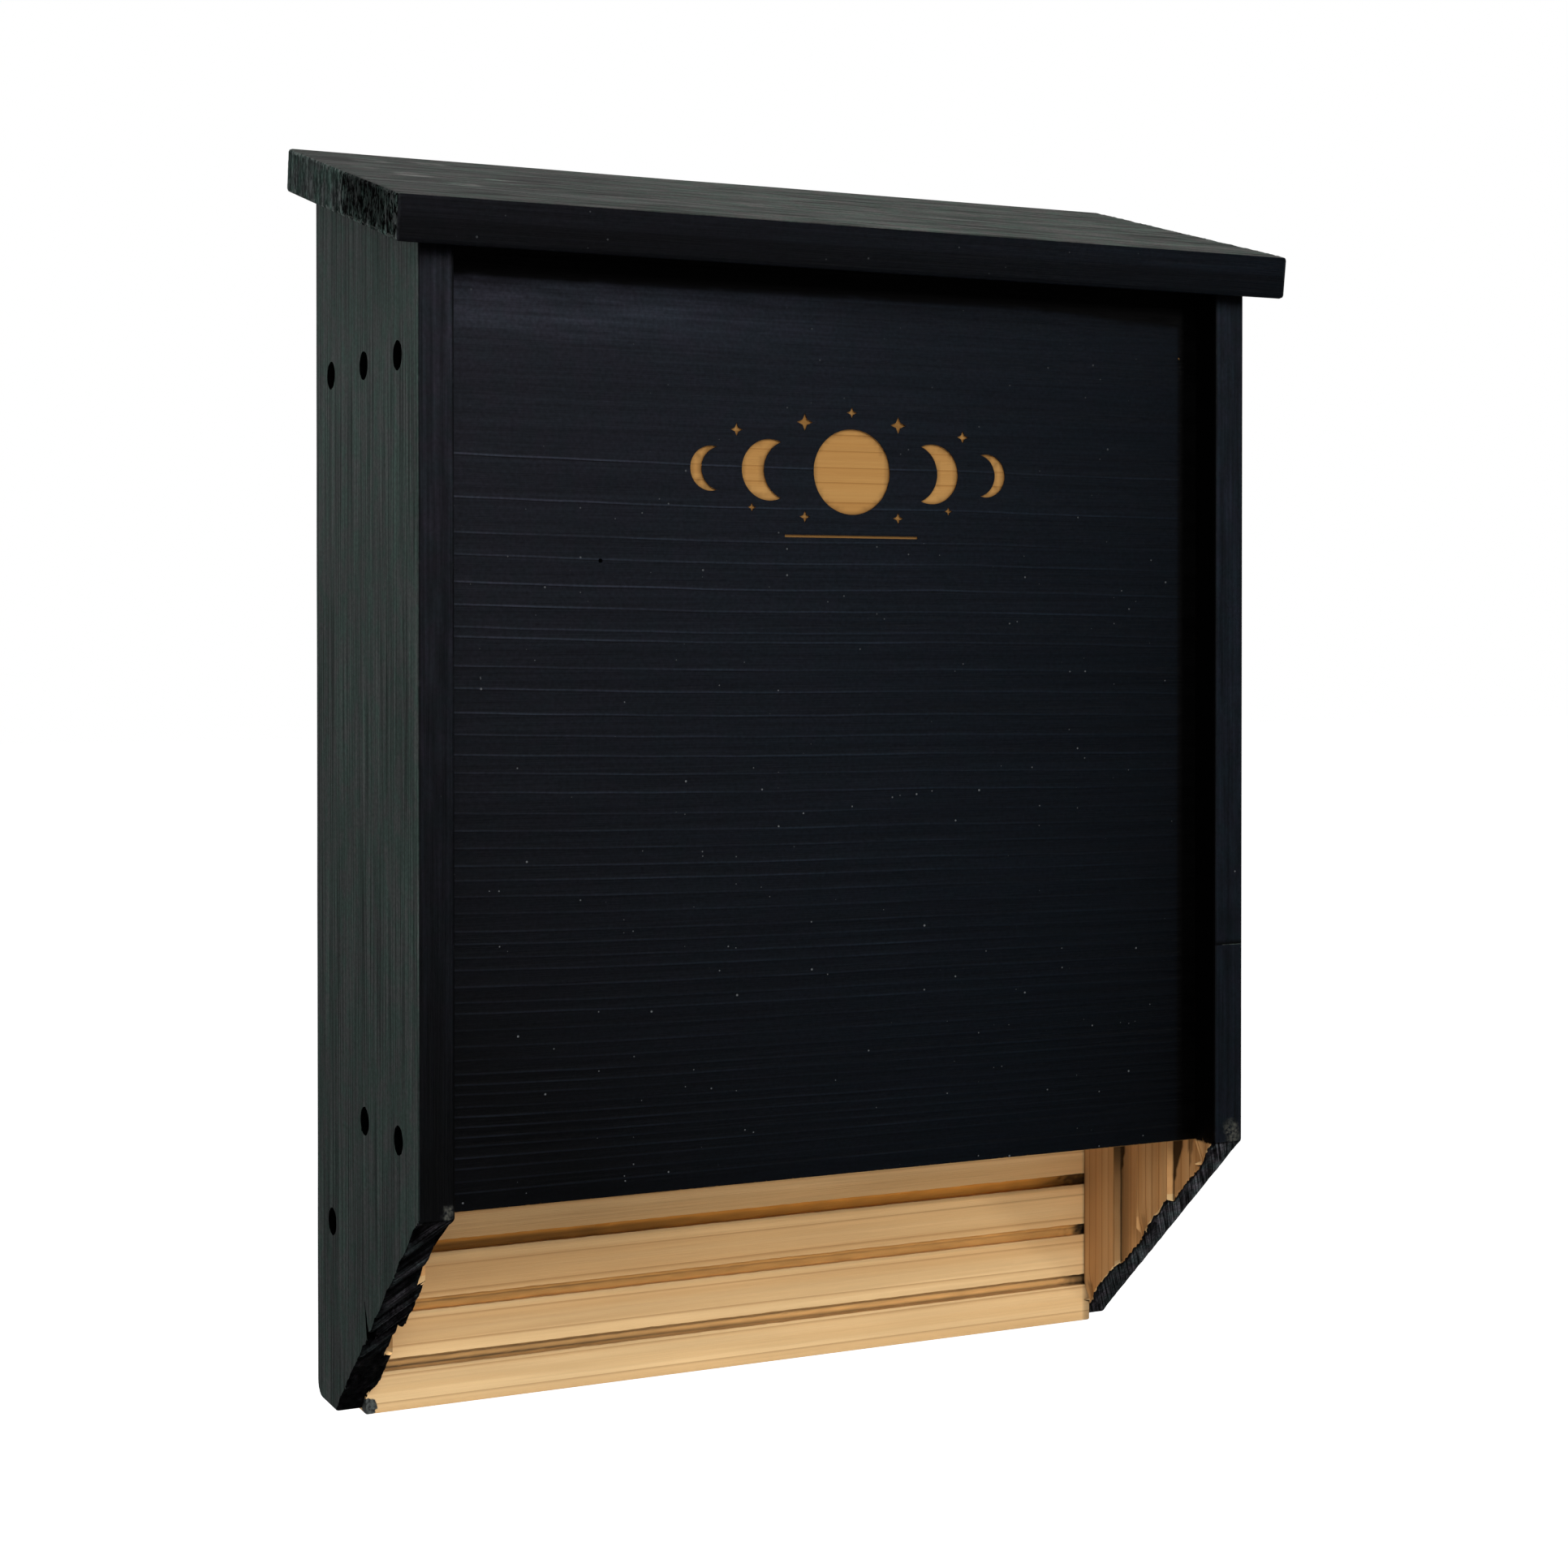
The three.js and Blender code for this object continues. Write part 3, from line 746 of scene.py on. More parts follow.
def makeFrontBoard():
    (front, rear), foot = shared["boards"][2], shared["panelFoot"]
    piece, planes, end = crossBlank("front_board_painted", 2, foot)
    score(piece, (1, 0, 0), even(-end, 140, frontBoard["columnGap"]) + even(139, end, 0.9))
    rows = sorted(height + offset for height in rings for offset in (-0.75, -0.4, -0.15, 0.15, 0.55))
    rows += [z for z in even(foot, -22, 4.5) if min(abs(z - row) for row in rows) > 1.8]
    rows += even(-22, 24, 1.2)
    score(piece, (0, 0, 1), rows)
    score(piece, (0, 1, 0), even(front, rear, 3.2))

    def relief(x, y, z):
        if y > front + 0.05:
            return 0, 0, ringShift(x, z) * soft(front + 2 - y, 0, 2)
        return 0, ringForm(x, z)[0], ringShift(x, z)

    reshape(piece, relief)
    cutOut(piece, grooveBars(rear, -1, grooves[4:], end + 4))
    pinX, pinZ = frontBoard["pinHole"]
    cutOut(piece, drill(0.8, (pinX, front - 1, pinZ), (pinX, front + 3, pinZ), 10))
    cutOut(piece, moonCutters())

    floor = front + moonPhases["depth"]
    rim = []  # where the engraving's floor meets its walls
    for edge in piece.data.edges:
        one, other = [piece.data.vertices[i].co / mm for i in edge.vertices]
        for low, high in ((one, other), (other, one)):
            if abs(low.y - floor) < 0.05 and high.y < front + 0.5:
                rim.append(low)
    tree = kdtree.KDTree(len(rim))
    for index, spot in enumerate(rim):
        tree.insert(spot, index)
    tree.balance()
    chips = chipped(frontBoard["nicks"])
    side, top, drop = frontBoard["paintedShadowEdge"]

    def bare(x, y, z):
        if y > front + 0.6:
            return 1 if z < foot + 2 or abs(y - floor) < 0.1 or y > front + 3 else 0.2
        foothold = 0.42 * soft(foot + 1.6 - z, 0, 1.6)
        return max(foothold, chips(x, y, z))

    def shade(x, y, z):
        if abs(y - floor) < 0.06 and z > foot + 3:  # darker beside the engraving's walls
            near = tree.find((x, y, z))[2] or 0
            return 0.72 - 0.3 * (1 - clamp(near / 1.2))
        if y > front + 0.45:
            return 0.8
        form = ringForm(x, unshifted(x, z))[1]
        upper = top - drop * soft(x, 70, 142) + 0.9 * wobble(x / 9, 4, 4)
        inset = min(side - x, upper - z)  # from the rim of the painted shadow under the roof and beside the right side board
        # painted shadow: the paint is near black beyond that rim
        unshadowedShare = 0.01 + 0.99 * soft(inset, -0.8, 1.1)
        u, v = clamp((x + 150) / 300), clamp(-z / 300)  # painted light: paler at the upper left, darker below and to the right
        paintedLightLean = 2.66 - 1.75 * u - v * (2.35 - 1.85 * u) - 0.45 * v * (1 - u) ** 2
        paintedLightLean += 1.6 * u * (1 - u) * (0.3 + 0.7 * v)
        paintedLightLean = max(0.22, paintedLightLean - 0.1 * u * (1 + v))
        strokes = 0.9 + 1.1 * wobble(x / 30, z / 1.5, 6) + 0.5 * wobble(x / 9, z / 1.3, 2)
        brushed = 1 + frontBoard["brush"] * soft(x, 30, -70) * soft(z, -17, 2) * soft(inset, 0, 2) * strokes
        lines = (form - 1) * (max(paintedLightLean * (1 - 0.4 * u), 0.8 * (1 - u)) if form > 1 else paintedLightLean)
        return (paintedLightLean + lines) * unshadowedShare * brushed

    values = {"gap": arrisGap(planes[:4]), "bare": bare, "shade": shade,
              "burn": lambda x, y, z: 0.75 if y < front + 3 else 0.2}
    finishBoard(piece, "front_board", "painted_wood", values, "frontPaint")


makeFrontBoard()

# Side boards: upright grain, three dadoes, six counterbored holes and a torn slanted cut
sideBoard = {
    "depth": 123.8,
    "cutHigh": -306.1,  # upper end of the slanted cut, at the front
    "cutFlat": 25.4,  # flat that is left at the foot
    "heel": 6,
    "dadoDepth": 3.2,
    "boreRadius": 5.1,
    "boreDepth": 5.6,
    "grain": 0.16,  # depth of the upright grain
    "strand": 1.6,  # depth between the torn strands on the cut
    "strandGaps": (20, 9.5),  # along the slope, above and below the turn
    "strandTurn": 58,
    "strandStart": 12,  # how far into a strand the slope begins
    "broken": (78, 104),  # where along the slope the strands break up
    "carry": 3.6,  # how deep under the cut the board follows its strands
    "roundings": {-1: (0.7, 0.15, 0.95), 1: (0.85, 0.7, 0.9)},  # worn corners before the dadoes, from the back
    "roundReach": 9,
    "seam": -229.9,  # fine seam across the right board's front edge
    "crack": ((-66.0, -362.0), (-61.0, -346.5)),  # on the left board, from the cut upwards: y and z
    "scuffs": {-1: [(-154.9, -123.8, -303.0, 2.3), (-155.1, -123.8, -304.9, 2.2)],
               1: [(160.0, -123.8, -301.0, 3.8), (161.0, -123.8, -303.8, 3.6)]},
    "chips": {-1: [(-153, -92.5, -335.5, 2.4), (-153.2, -55.5, -368.0, 3.6), (-153, -52.9, -371.5, 3.0),
                   (-153, -31.5, -389, 2.6), (-152.6, -123.4, -184, 1.4)],
              1: [(153, -106.5, -306, 2.4)]},
}


def sidePlanes(side):
    high, flat, depth = sideBoard["cutHigh"], sideBoard["cutFlat"], sideBoard["depth"]
    foot = cornersOf("left_side_board")[0][2]
    across = Vector((0, foot - high, flat - depth)).normalized()
    reach = across.dot(Vector((0, -flat, foot)))
    return [((side, 0, 0), shared["outer"]), ((-side, 0, 0), -shared["inner"]), ((0, -1, 0), depth),
            ((0, 1, 0), 0), ((0, -slopeSin, slopeCos), shared["roofSeat"] * slopeCos), ((0, 0, -1), -foot),
            (tuple(across), reach)]


def makeSideBoard(side):
    planes = sidePlanes(side)
    depth, foot = sideBoard["depth"], -planes[5][1]
    inner, outer, fit = shared["inner"], shared["outer"], shared["fit"]
    dadoFloor = inner + sideBoard["dadoDepth"]
    (lowY, lowZ), (highY, highZ) = sideBoard["crack"]
    xs = sorted((side * inner, side * outer))
    piece = blank("left_side_board_painted" if side < 0 else "right_side_board_painted",
                  (xs[0], -depth, foot), (xs[1], 0, shared["roofSeat"]))
    saw(piece, *planes[4])
    saw(piece, *planes[6])
    ease(piece, sideBoard["heel"], 5, lambda x, y, z: y > -1 and z < foot + 1)
    ease(piece, 0.9, 2)
    score(piece, (0, 1, 0), even(-depth, -24, 0.85) + even(-24, 0, 1.6))
    rows = even(foot, -312, 2.4) + even(-312, -284, 1.4) + even(-284, 52, 8) + [13.3, 15.6, 17.4]
    if side > 0:
        rows += [sideBoard["seam"] + offset for offset in (-0.35, -0.1, 0.2)]
    score(piece, (0, 0, 1), rows)
    score(piece, (1, 0, 0), [side * place for place in even(inner, outer, 1.15)])
    score(piece, planes[6][0], [planes[6][1] - 1.8])

    def frayed(x, y, z):
        return 0, 0.16 * wobble(x, y / 1.5, z / 1.5), 0.3 * wobble(y / 1.5, 2, z / 1.5)

    cutters, bores = [], []
    for index, (front, rear) in enumerate(shared["boards"]):
        across = sorted((side * (inner - 2), side * dadoFloor))
        slot = blank("dado", (across[0], front - fit, foot - 4), (across[1], rear + fit, 60))
        score(slot, (0, 0, 1), even(foot - 4, -290, 2.5))
        score(slot, (0, 1, 0), even(front, rear, 1.1))
        score(slot, (1, 0, 0), [side * (dadoFloor - 0.7)])
        score(slot, planes[6][0], [planes[6][1] - 1.8])
        reshape(slot, lambda x, y, z: (0, 0.3 * wobble(x, y, z / 4) * soft(-296 - z, 0, 6), 0))
        cutters.append(slot)
        middle = (front + rear) / 2
        for z in (shared["screwHigh"], shared["screwLow"][index]):
            seat = side * (outer - sideBoard["boreDepth"])
            bore = drill(sideBoard["boreRadius"], (side * (outer + 2), middle, z), (seat, middle, z), 28)
            reshape(bore, frayed)
            cutters.append(bore)
            bores.append((middle, z))
    if side < 0:
        split = blank("crack", (-outer - 1, lowY - 2, lowZ), (-outer + 2.6, lowY + 2, highZ))
        reshape(split, lambda x, y, z: (0, highY + 0.08 * (y - lowY) - y if z > highZ - 1 else 0, 0))
        score(split, (0, 0, 1), even(lowZ, highZ, 2.4))
        cutters.append(split)
    cutOut(piece, join(cutters))

    cutNormal, cutReach = Vector(planes[6][0]), planes[6][1]

    def strand(x, y):  # height of the torn strands, 0 in a gap and 1 on a crest
        out = side * x
        slide = (y + depth) * shared["slopeRun"] - shared["strandSkew"] * (out - inner) + sideBoard["strandStart"]
        slide += 1.6 * wobble(y / 16, out / 7, side * 3)
        wide, narrow = sideBoard["strandGaps"]
        turn = sideBoard["strandTurn"]
        beat = min(slide, turn) / wide + max(0, slide - turn) / narrow
        swell = abs(math.sin(math.pi * beat)) ** 0.7 * (0.88 + 0.12 * abs(math.sin(math.pi * 3.3 * beat + 1)))
        broken = soft(slide, *sideBoard["broken"])
        rough = clamp(0.5 + 0.9 * wobble(y / 2.2, out / 1.9, side * 7))
        return swell * (1 - broken) + 0.8 * rough * broken

    def underSaw(x, y, z):  # depth under the sawn slope
        return cutReach - cutNormal.dot(Vector((x, y, z)))

    def inBore(y, z):
        return any(math.hypot(y - spotY, z - spotZ) < sideBoard["boreRadius"] + 0.5 for spotY, spotZ in bores)

    def relief(x, y, z):
        out = side * x
        move = Vector((0, 0, 0))
        if out > outer - 0.02:
            streak = wobble(y / 1.1, z / 55, side * 5) + 0.6 * wobble(y / 3.1, z / 90, side * 9)
            move.x -= side * sideBoard["grain"] * clamp(0.5 + 0.6 * streak)
        if y < -depth + 0.02:
            move.y += 0.12 * clamp(0.5 + wobble(x / 1.3, z / 50, side))
            if side > 0 and abs(z - sideBoard["seam"]) < 0.3:
                move.y += 0.4
        gap, reach = underSaw(x, y, z), sideBoard["roundReach"]
        if gap < sideBoard["carry"]:
            ends = soft(-sideBoard["cutFlat"] - y, 0, 5) * soft(y + depth, 0.5, 4)
            rough = 0.12 * (1 + wobble(y / 1.7, z / 1.7, out / 1.7)) if gap < 0.35 else 0
            move.z += ends * (tornDepth(x, y) * (1 - gap / sideBoard["carry"]) + rough) / -cutNormal.z
        if gap < reach and out < dadoFloor - 0.05:
            for (front, _), power in zip(shared["boards"], sideBoard["roundings"][side]):
                wall = front - fit
                if wall - reach < y < wall + 0.05:
                    share = power * soft(y, wall - reach, wall) * soft(gap, reach, 0.5)
                    move.x += side * share * (dadoFloor - out)
        return move

    def tornDepth(x, y):  # how far the strands lie under the saw's plane
        rim = 1 if side < 0 else 0.15 + 0.35 * soft(outer - side * x, 0, 5)
        return sideBoard["strand"] * (1 - strand(x, y)) * rim

    reshape(piece, relief)
    chips = chipped(sideBoard["chips"][side])
    marks = chipped(sideBoard["scuffs"][side])
    gapOf = arrisGap(planes)
    face, panelFoot = shared["frontFace"], shared["panelFoot"]

    def byDado(y):  # inside a dado or at the worn corner before it
        before = fit + sideBoard["roundReach"]
        return any(front - before < y < rear + fit + 0.2 for front, rear in shared["boards"])

    def bare(x, y, z):
        out = side * x
        chip = soft(chips(x, y, z), 0, 0.4)
        if out > outer - 3 or y < -depth + 0.6 or inBore(y, z) and out > dadoFloor + 0.5:
            return chip
        below = underSaw(x, y, z) - tornDepth(x, y)  # depth under the strands
        if below < 0.4 and out > inner + 0.5:
            return chip
        if out > inner + 0.5:  # the dadoes and the rear edge
            return 0.35 if y > -1 else 1
        beyond = max(y - face, panelFoot - z)  # how far the bare part has begun
        rim = min(gapOf(x, y, z), below) - 0.6 - 0.5 * wobble(y / 4, z / 4, side)
        return max(chip, clamp(min(0.5 + beyond / 2, 0.5 + rim / 0.9, 0.5 + (-0.8 - y) / 2)))

    # Painted highlights on the crests of the torn strands and painted shade in their gaps, darker low on the cut;
    # the right board's cut is painted brighter
    def cutShade(x, y, z):
        out, height = side * x, strand(x, y)
        dim = (0.9 * height + 4.4 * height ** 6) * clamp(0.75 + wobble(y / 7, out / 3, 4))
        dim = 0.01 + dim * (1 - 0.2 * soft(-z, 350, 378))
        if side > 0:
            dim = 2.6 + 3.4 * dim + 1.4 * wobble(y / 1.6 + out / 1.2, 1, 9)
        dim = min(dim, 1.2 if out < inner + 1 or out < dadoFloor + 0.4 and byDado(y) else 9)
        return dim + (1.7 - dim) * soft(chips(x, y, z), 0, 0.4)

    def edgeShade(x, y, z):
        out, down = side * x, clamp(-z / 300)
        if side > 0 and abs(z - sideBoard["seam"]) < 0.3:
            return 0.1
        # painted light: the front edges are paler at the top and darker toward the foot
        dim = max(0.15, 2.55 - 2.5 * down) if side < 0 else 1.76 - 0.72 * down
        dim *= 1 + 0.45 * wobble(x / 1.6, z / 26, 3) + 0.35 * wobble(x / 4, z / 9, 7)
        # a painted highlight along the eased inner corner, and a painted dark line on the outer bevel
        line = 0.45 if side < 0 else 0.2
        dim *= 1 + line * soft(abs(out - inner - 1.7), 0.9, 0.3) - 0.7 * soft(out, outer - 1.1, outer - 0.5)
        # a dark line at the inner arris beside the front board, and painted shadow under the roof at the top
        dim *= (1 - 0.8 * soft(inner + 0.9 - out, 0, 0.5)) * (1 - 0.9 * soft(z, 14, 17))
        return dim + (1 - dim) * soft(marks(x, y, z), 0, 0.3)

    def shade(x, y, z):
        out = side * x
        torn = underSaw(x, y, z) - tornDepth(x, y) < 0.4 and -depth + 0.8 < y < -sideBoard["cutFlat"]
        if inBore(y, z) and dadoFloor + 0.5 < out < outer - 0.3:
            return 1
        if torn and inner + 0.2 < out < outer - 0.2:
            return cutShade(x, y, z)
        if out > outer - 0.5:
            # painted light: the outer face is paler at the top and darker below, with a painted highlight beside
            # the front arris and a painted dark line on its bevel
            dim = 1.42 - 0.34 * soft(-z, -30, 130) - 0.2 * soft(-z, 150, 380)
            dim += 0.14 * wobble(y / 14, z / 60, side * 2)
            return dim * (1 + 0.25 * soft(y, -depth + 4, -depth + 1.2) - 0.7 * soft(y, -depth + 1, -depth + 0.5))
        if y < -depth + 0.6:
            return edgeShade(x, y, z)
        if out < dadoFloor + 1:
            # painted shadow: the painted inner face in front of the front board is near black
            if y < face + 0.1 and z > panelFoot:
                return 0.05
            return paintedCornerShade(out, y, z) * (0.82 + 0.12 * wobble(y / 6, z / 40, 2))
        return 1

    def paintedCornerShade(out, y, z):  # what the painted shade in the dadoes and corners leaves of the bare wood's brightness
        (backFront, _), (_, baffleRear), (_, panelRear) = shared["boards"]
        if abs(y - baffleRear - fit) < 0.3 and out < dadoFloor - 0.3:  # behind the baffle
            return 0.6 - 0.4 * soft(z, -335, -318)
        if out < inner + 0.5:  # a dark line beside the back board
            return 1 - 0.6 * soft(abs(y - backFront), 1.2, 0.4)
        rear = min((b + fit for _, b in shared["boards"]), key=lambda b: abs(b - y))
        baffle = panelRear + 1 < rear < baffleRear + 1
        if abs(y - rear) < 0.3 and out < dadoFloor - 0.3:  # the walls that face the front
            return 1
        # painted shadow: dark wedges at the tops of the dadoes' rear corners
        wedge = 0.7 + 3.2 * soft(z, -336, -309) if baffle else 0.3 + 7.2 * clamp((z + 329) / 22)
        if abs(y - rear) < wedge:
            return 0.1
        if not baffle and abs(y - rear + 11.5) < 2.2 * clamp((z + 319) / 11):
            return 0.45
        return (0.66 if baffle else 0.8) + (0.34 if baffle else 0.2) * soft(rear - y, 3.5 if baffle else 2, 8)

    def scuff(x, y, z):
        return soft(marks(x, y, z), 0, 0.4) * (1 if side < 0 else 0.75)

    kinds = ("sidePaintLitCopy", "edgePaint", "cutPaint", "bareUpright", "paintedBoreShade")

    def choose(spot, normal):
        out, kind = side * spot.x, "sidePaintLitCopy"
        inCrack = lowY - 2.2 < spot.y < highY + 1 and spot.z < highZ + 1 and outer - 2.8 < out < outer - 0.3
        # the walls of the bores and the crack take the near-black painted shade
        if inBore(spot.y, spot.z) and dadoFloor + 0.3 < out < outer - 0.12 or side < 0 and inCrack:
            kind = "paintedBoreShade"
        elif normal.y < -0.8 and spot.y < -depth + 1:
            kind = "edgePaint"
        elif underSaw(*spot) < 2.4 and spot.y < -sideBoard["cutFlat"] and normal.dot(cutNormal) > 0.3:
            kind = "cutPaint"
        elif out < dadoFloor + 0.1 and spot.y < -0.5:
            kind = "bareUpright"
        return kinds.index(kind)

    name = "left_side_board" if side < 0 else "right_side_board"
    values = {"gap": gapOf, "bare": bare, "shade": shade, "scuff": scuff}
    finishBoard(piece, name, "painted_wood", values, *kinds, choose=choose)


makeSideBoard(-1)
makeSideBoard(1)

# Roof board: sloping plank with long grain on top and torn end grain
roofBoard = {
    "endTilt": math.radians(7.5),
    "thickness": 15.9,
    "length": 139.7,
    "grain": 0.3,
    "endPits": 0.7,
    "chips": [(158.5, -136.2, 33.0, 2.6), (152.5, -136.0, 33.2, 1.5)],
    "knots": [(-150, -86, 7), (-139, -119, 6), (-164, -30, 8), (-103, -59, 9), (-80, -90, 7)],  # dark, on top
    "scratches": [(-153, -27, 11, 9), (-150, -70, 9, 8), (-163, -56, 6, 7), (-138, -93, 8, 7),
                  (-128, -22, 9, 7), (-116, -66, 8, 6)],  # light marks on top: x, y and half sizes
}


def roofPlanes():
    half = cornersOf("roof_board")[1][0]
    tilt = roofBoard["endTilt"]
    seat = Vector((0, 0, shared["roofSeat"] + shared["fit"]))
    rear = Vector((0, math.cos(tilt), math.sin(tilt)))
    top = Vector((0, -slopeSin, slopeCos))
    fore = seat + Vector((0, -slopeCos, -slopeSin)) * roofBoard["length"]
    return [(tuple(top), top.dot(seat) + roofBoard["thickness"]), (tuple(-top), -top.dot(seat)),
            (tuple(rear), rear.dot(seat)), (tuple(-rear), -rear.dot(fore)), ((1, 0, 0), half), ((-1, 0, 0), half)]


def makeRoofBoard():
    planes = roofPlanes()
    half = planes[4][1]
    piece = blank("roof_board_painted", (-half, -150, 0), (half, 5, 90))
    for plane in planes[:4]:
        saw(piece, *plane)
    ease(piece, 1.5, 2)
    top, deep = Vector(planes[0][0]), planes[0][1]
    up = Vector((0, slopeCos, slopeSin))
    score(piece, (1, 0, 0), even(-half, -110, 1.8) + even(-111, half, 7))
    score(piece, up, even(-126, 14, 1.3))
    score(piece, top, even(deep - roofBoard["thickness"], deep, 1.3))

    def relief(x, y, z):
        place = Vector((x, y, z))
        move = Vector((0, 0, 0))
        slide, height = up.dot(place), top.dot(place)
        if deep - height < 0.05:
            streak = wobble(x / 70, slide / 1.6, 2) + 0.7 * wobble(x / 110, slide / 5, 6)
            move -= top * (roofBoard["grain"] * clamp(0.5 + 0.55 * streak))
        if abs(x) > half - 0.05:
            rough = abs(wobble(slide / 1.9, height / 2.6, x)) + 0.4 * abs(wobble(slide / 0.9, z, 3))
            torn = 0.25 + 0.75 * soft(-slide, 55, 80)
            move.x -= math.copysign(roofBoard["endPits"] * torn * clamp(rough * 1.6), x)
        return move

    reshape(piece, relief)
    chips = chipped(roofBoard["chips"])

    fore, foreReach = Vector(planes[3][0]), planes[3][1]

    def shade(x, y, z):
        place = Vector((x, y, z))
        slide = up.dot(place)
        if abs(x) > half - 1.3:
            dark = 0.62 * soft(-slide, 48, 66) + 0.36 * soft(-slide, 60, 72) * soft(slide, -124, -98)
            return 1.3 - dark * (1 - 0.7 * soft(top.dot(place) - deep + roofBoard["thickness"], 4.2, 1.2))
        if foreReach - fore.dot(place) < 1:
            return (0.5 + 0.5 * soft(z, 24.5, 27)) * (1 + 0.3 * wobble(x / 40, z / 1.5, 3))
        knot = max([0] + [1 - math.hypot((x - kx) / 3, y - ky) / size for kx, ky, size in roofBoard["knots"]])
        light = max([0] + [1 - math.hypot((x - sx) / long, (y - sy) / wide)
                           for sx, sy, long, wide in roofBoard["scratches"]])
        # painted light: the roof top is brighter toward the right and the middle
        level = 0.95 + 0.55 * (x + half) / (2 * half)
        level += 0.2 * soft(abs(x), 90, 20) + 0.2 * wobble(x / 60, slide / 5, 1)
        torn = clamp(0.8 + wobble(x / 5, y / 6, 5))
        return level * (1 - 0.5 * soft(knot, 0, 0.8)) * (1 + 1.6 * torn * soft(light, 0, 0.6))

    def pitted(x, y, z):
        return 0.38 + 0.62 * soft(-up.dot((x, y, z)), 48, 62) if abs(x) > half - 1.3 else 0

    def choose(spot, normal):
        if abs(normal.x) > 0.6:
            return 1
        return 2 if normal.y < -0.8 or normal.z < -0.1 and normal.y < 0.1 else 0

    values = {"gap": arrisGap(planes), "bare": lambda x, y, z: soft(chips(x, y, z), 0, 0.5),
              "shade": shade, "scuff": pitted}
    finishBoard(piece, "roof_board", "painted_wood", values, "roofPaintLitCopy", "endPaintLitCopy", "frontPaint", choose=choose)


makeRoofBoard()

# Back board: bare, grooved in front, with a landing strip and a keyhole slot behind
backBoard = {
    "foot": -396.4,
    "keyNeck": 2.8, "keyHead": 5.6, "keyLip": 3.5, "keyDepth": 9, "keyRun": 15,
    "blobs": [(-154.6, -29, -393.5, 4.6)],
    "endShadows": {2: (30, 0.9), 1: (6, 0.95), 0: (12, 0.75)},  # painted shade darkening the right ends of the grooves, in the corner by the side board: length and strength
}
evenGroove = (0.36, 0.45, 0.6, 0.6, 0.6, 0.6, 0.6, 0.45, 0.36)
# Grooves, from the lowest up: saw scorching, painted shade on the lower rim, and painted shade and tone up the
# floor by side
grooveMarks = (
    {"burn": 0.6, "rim": (0.75, 0.95), "left": (0.8, 0.45, 0.08, 0.62, 0.82, 0.75, 0.2, 0.85, 1.0),
     "right": (0.7, 0.4, 0.85, 1.15, 1.15, 1.05, 0.42, 0.9, 0.95)},
    {"burn": 0.8, "rim": (0.83, 0.86), "left": (1.25, 1.2, 1.1, 1.0, 0.85, 0.4, 1.05, 1.15, 0.95),
     "right": (1.1, 1.05, 1.0, 1.0, 1.0, 0.65, 1.2, 1.4, 1.1)},
    {"burn": 1.0, "rim": (0.72, 0.6), "left": (0.75, 0.62, 0.58, 0.52, 0.46, 0.7, 1.2, 1.4, 1.3),
     "right": (1.0, 1.05, 1.0, 1.05, 1.2, 1.32, 1.45, 1.5, 1.4)},
    {"burn": 0.6, "rim": (1, 1), "left": evenGroove, "right": evenGroove},  # this one and all above
)


def between(first, second, share):
    return first * (1 - share) + second * share


def grooveAt(z):  # the nearest groove, counted from the lowest
    return round((z - grooves[0]) / shared["groovePitch"])


def grooveTone(x, z):  # painted shade and tone of a groove's floor, its scorching and the painted shade on its lower rim
    index = grooveAt(z)
    marks = grooveMarks[clamp(index, 0, 3)]
    offset = z - grooves[0] - index * shared["groovePitch"]
    step = clamp(bisect_left(grooveOffsets, offset), 1, len(grooveOffsets) - 1)
    share = clamp((offset - grooveOffsets[step - 1]) / (grooveOffsets[step] - grooveOffsets[step - 1]))
    left, right = [between(*marks[end][step - 1:step + 1], share) for end in ("left", "right")]
    across = soft(x, -105, 70)
    rim = between(*marks["rim"], across) if abs(offset - grooveOffsets[0]) < 0.7 else 1
    return between(left, right, across), marks["burn"], rim


